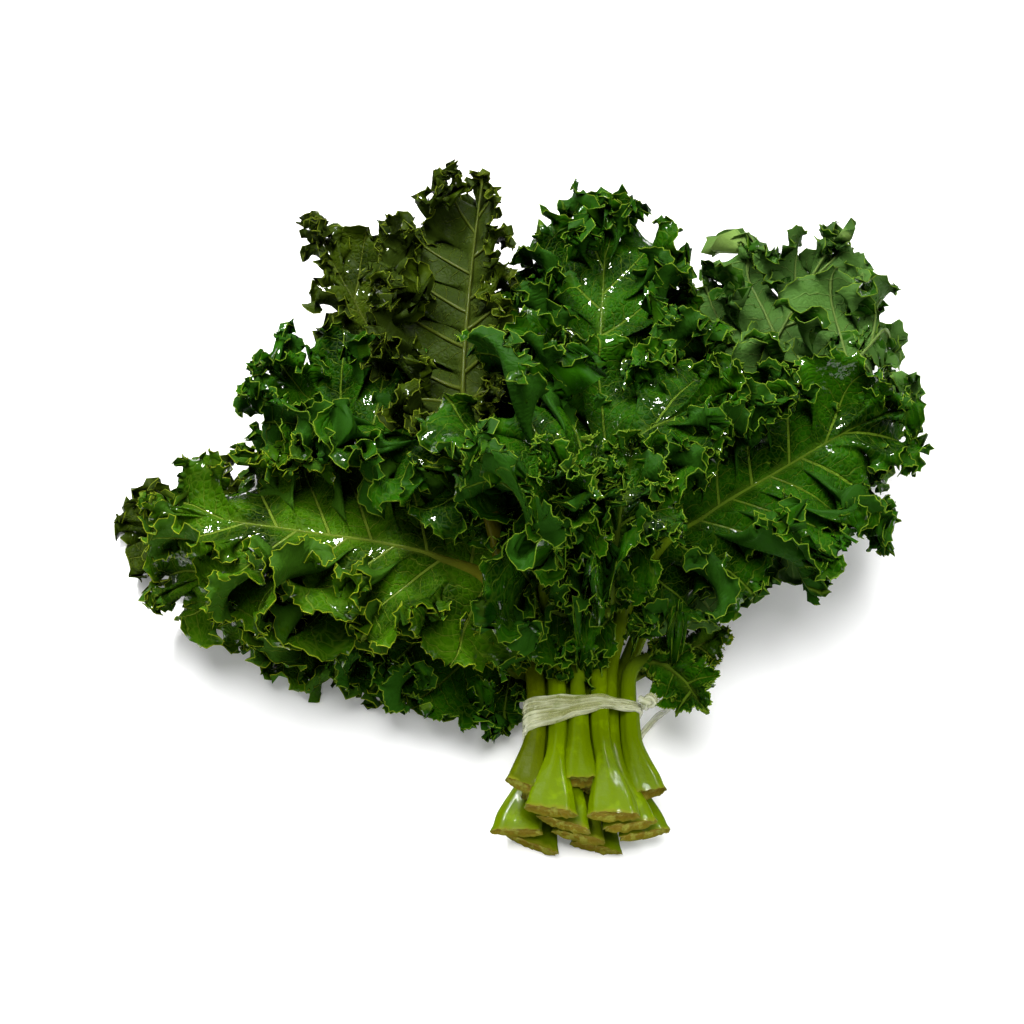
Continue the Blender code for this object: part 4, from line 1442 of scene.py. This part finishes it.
def stalk_finish(name, tone):
    """Streaked with painted light and shade along the stalk, stained above the tie, and torn brown at the
    cut end.
    """
    recipe = Recipe(name)
    share, along = recipe.fact("share"), recipe.fact("along")
    streak = recipe.noise(recipe.join(along * 0.02, recipe.fact("out")), 9.0, 4.0)
    blotch = recipe.noise(recipe.place(), 90.0, 3.0)
    # The stalk colour is its lit colour, and a dimmed copy of it is painted shade. Streaks and blotches mix
    # the two, and the stalk is mostly the painted shade.
    painted_shade = dimmed(tone["stalk"], 0.34)
    colour = recipe.mix(recipe.fade(streak, 0.62, 0.38), tone["stalk"], painted_shade)
    colour = recipe.mix(recipe.fade(blotch, 0.62, 0.50) * 0.18, painted_shade, colour)
    stain = recipe.fade(along, 70.0, 8.0) * recipe.fade(share, 0.45, 0.7)
    colour = recipe.mix(stain * 0.75, colour, tone["stain"])
    colour = recipe.mix(recipe.fade(share, 0.50, 0.14), colour, dimmed(tone["vein"], 0.72))
    torn = recipe.fade(recipe.fact("edge") + blotch * -5.0, -0.6, -2.4)
    colour = recipe.mix(torn, srgb(98, 104, 18), colour)
    recipe.bump(streak + recipe.noise(recipe.place(), 500.0, 3.0) * 0.35, 0.0004)
    return recipe.finish(colour, 0.36, Coat_Weight=0.05, Coat_Roughness=0.05, Specular_IOR_Level=0.01)


def cut_finish(name):
    """Pale wet flesh with brown blotches, inside a ring of skin."""
    recipe = Recipe(name)
    fibre = recipe.noise(recipe.place(), 900.0, 3.0)
    blotch = recipe.noise(recipe.place(), 260.0, 2.0)
    flesh = recipe.mix(fibre, srgb(172, 172, 70), srgb(112, 118, 26))
    flesh = recipe.mix(recipe.fade(blotch, 0.62, 0.48), srgb(128, 112, 28), flesh)
    recipe.bump(fibre, 0.0007)
    skin = recipe.fade(recipe.fact("share"), 0.98, 0.80)
    return recipe.finish(recipe.mix(skin, flesh, srgb(112, 108, 24)), 0.5, Specular_IOR_Level=0.05)


def leaf_finishes(kind):
    """One tone's finishes, in the order of the leaf's material slots."""
    tone = TONES[kind]
    return [
        stalk_finish("kale_stalk_" + kind, tone),
        leaf_face("kale_upper_" + kind, tone, True),
        leaf_face("kale_under_" + kind, tone, False),
        margin_finish("kale_margin_" + kind, tone),
        cut_finish("kale_cut_" + kind),
    ]


finishes = {kind: leaf_finishes(kind) for kind in TONES}
print("leaf finishes:", sum(len(one) for one in finishes.values()))

# %% [markdown]
# ## Growing all the leaves
# A leaf's shape comes from a random curve of its own, so it could come out different each time.
# Each leaf therefore gets a fixed seed, from its number in the pile, and always grows the same.

# %% Growing all the leaves
FIRST_SEED = 11

total = 0
for number, leaf in enumerate(LEAVES):
    name = leaf["name"]
    seed = FIRST_SEED + number
    grown = grow_leaf(leaf, fields[name], rooms[name], seed, finishes[leaf["tone"]])
    triangles, side_veins, margin = grown
    total += triangles
    print(f"{name}: {triangles} triangles, {side_veins} side veins, {margin:.0f} mm of margin")
print("triangles in the leaves:", total)
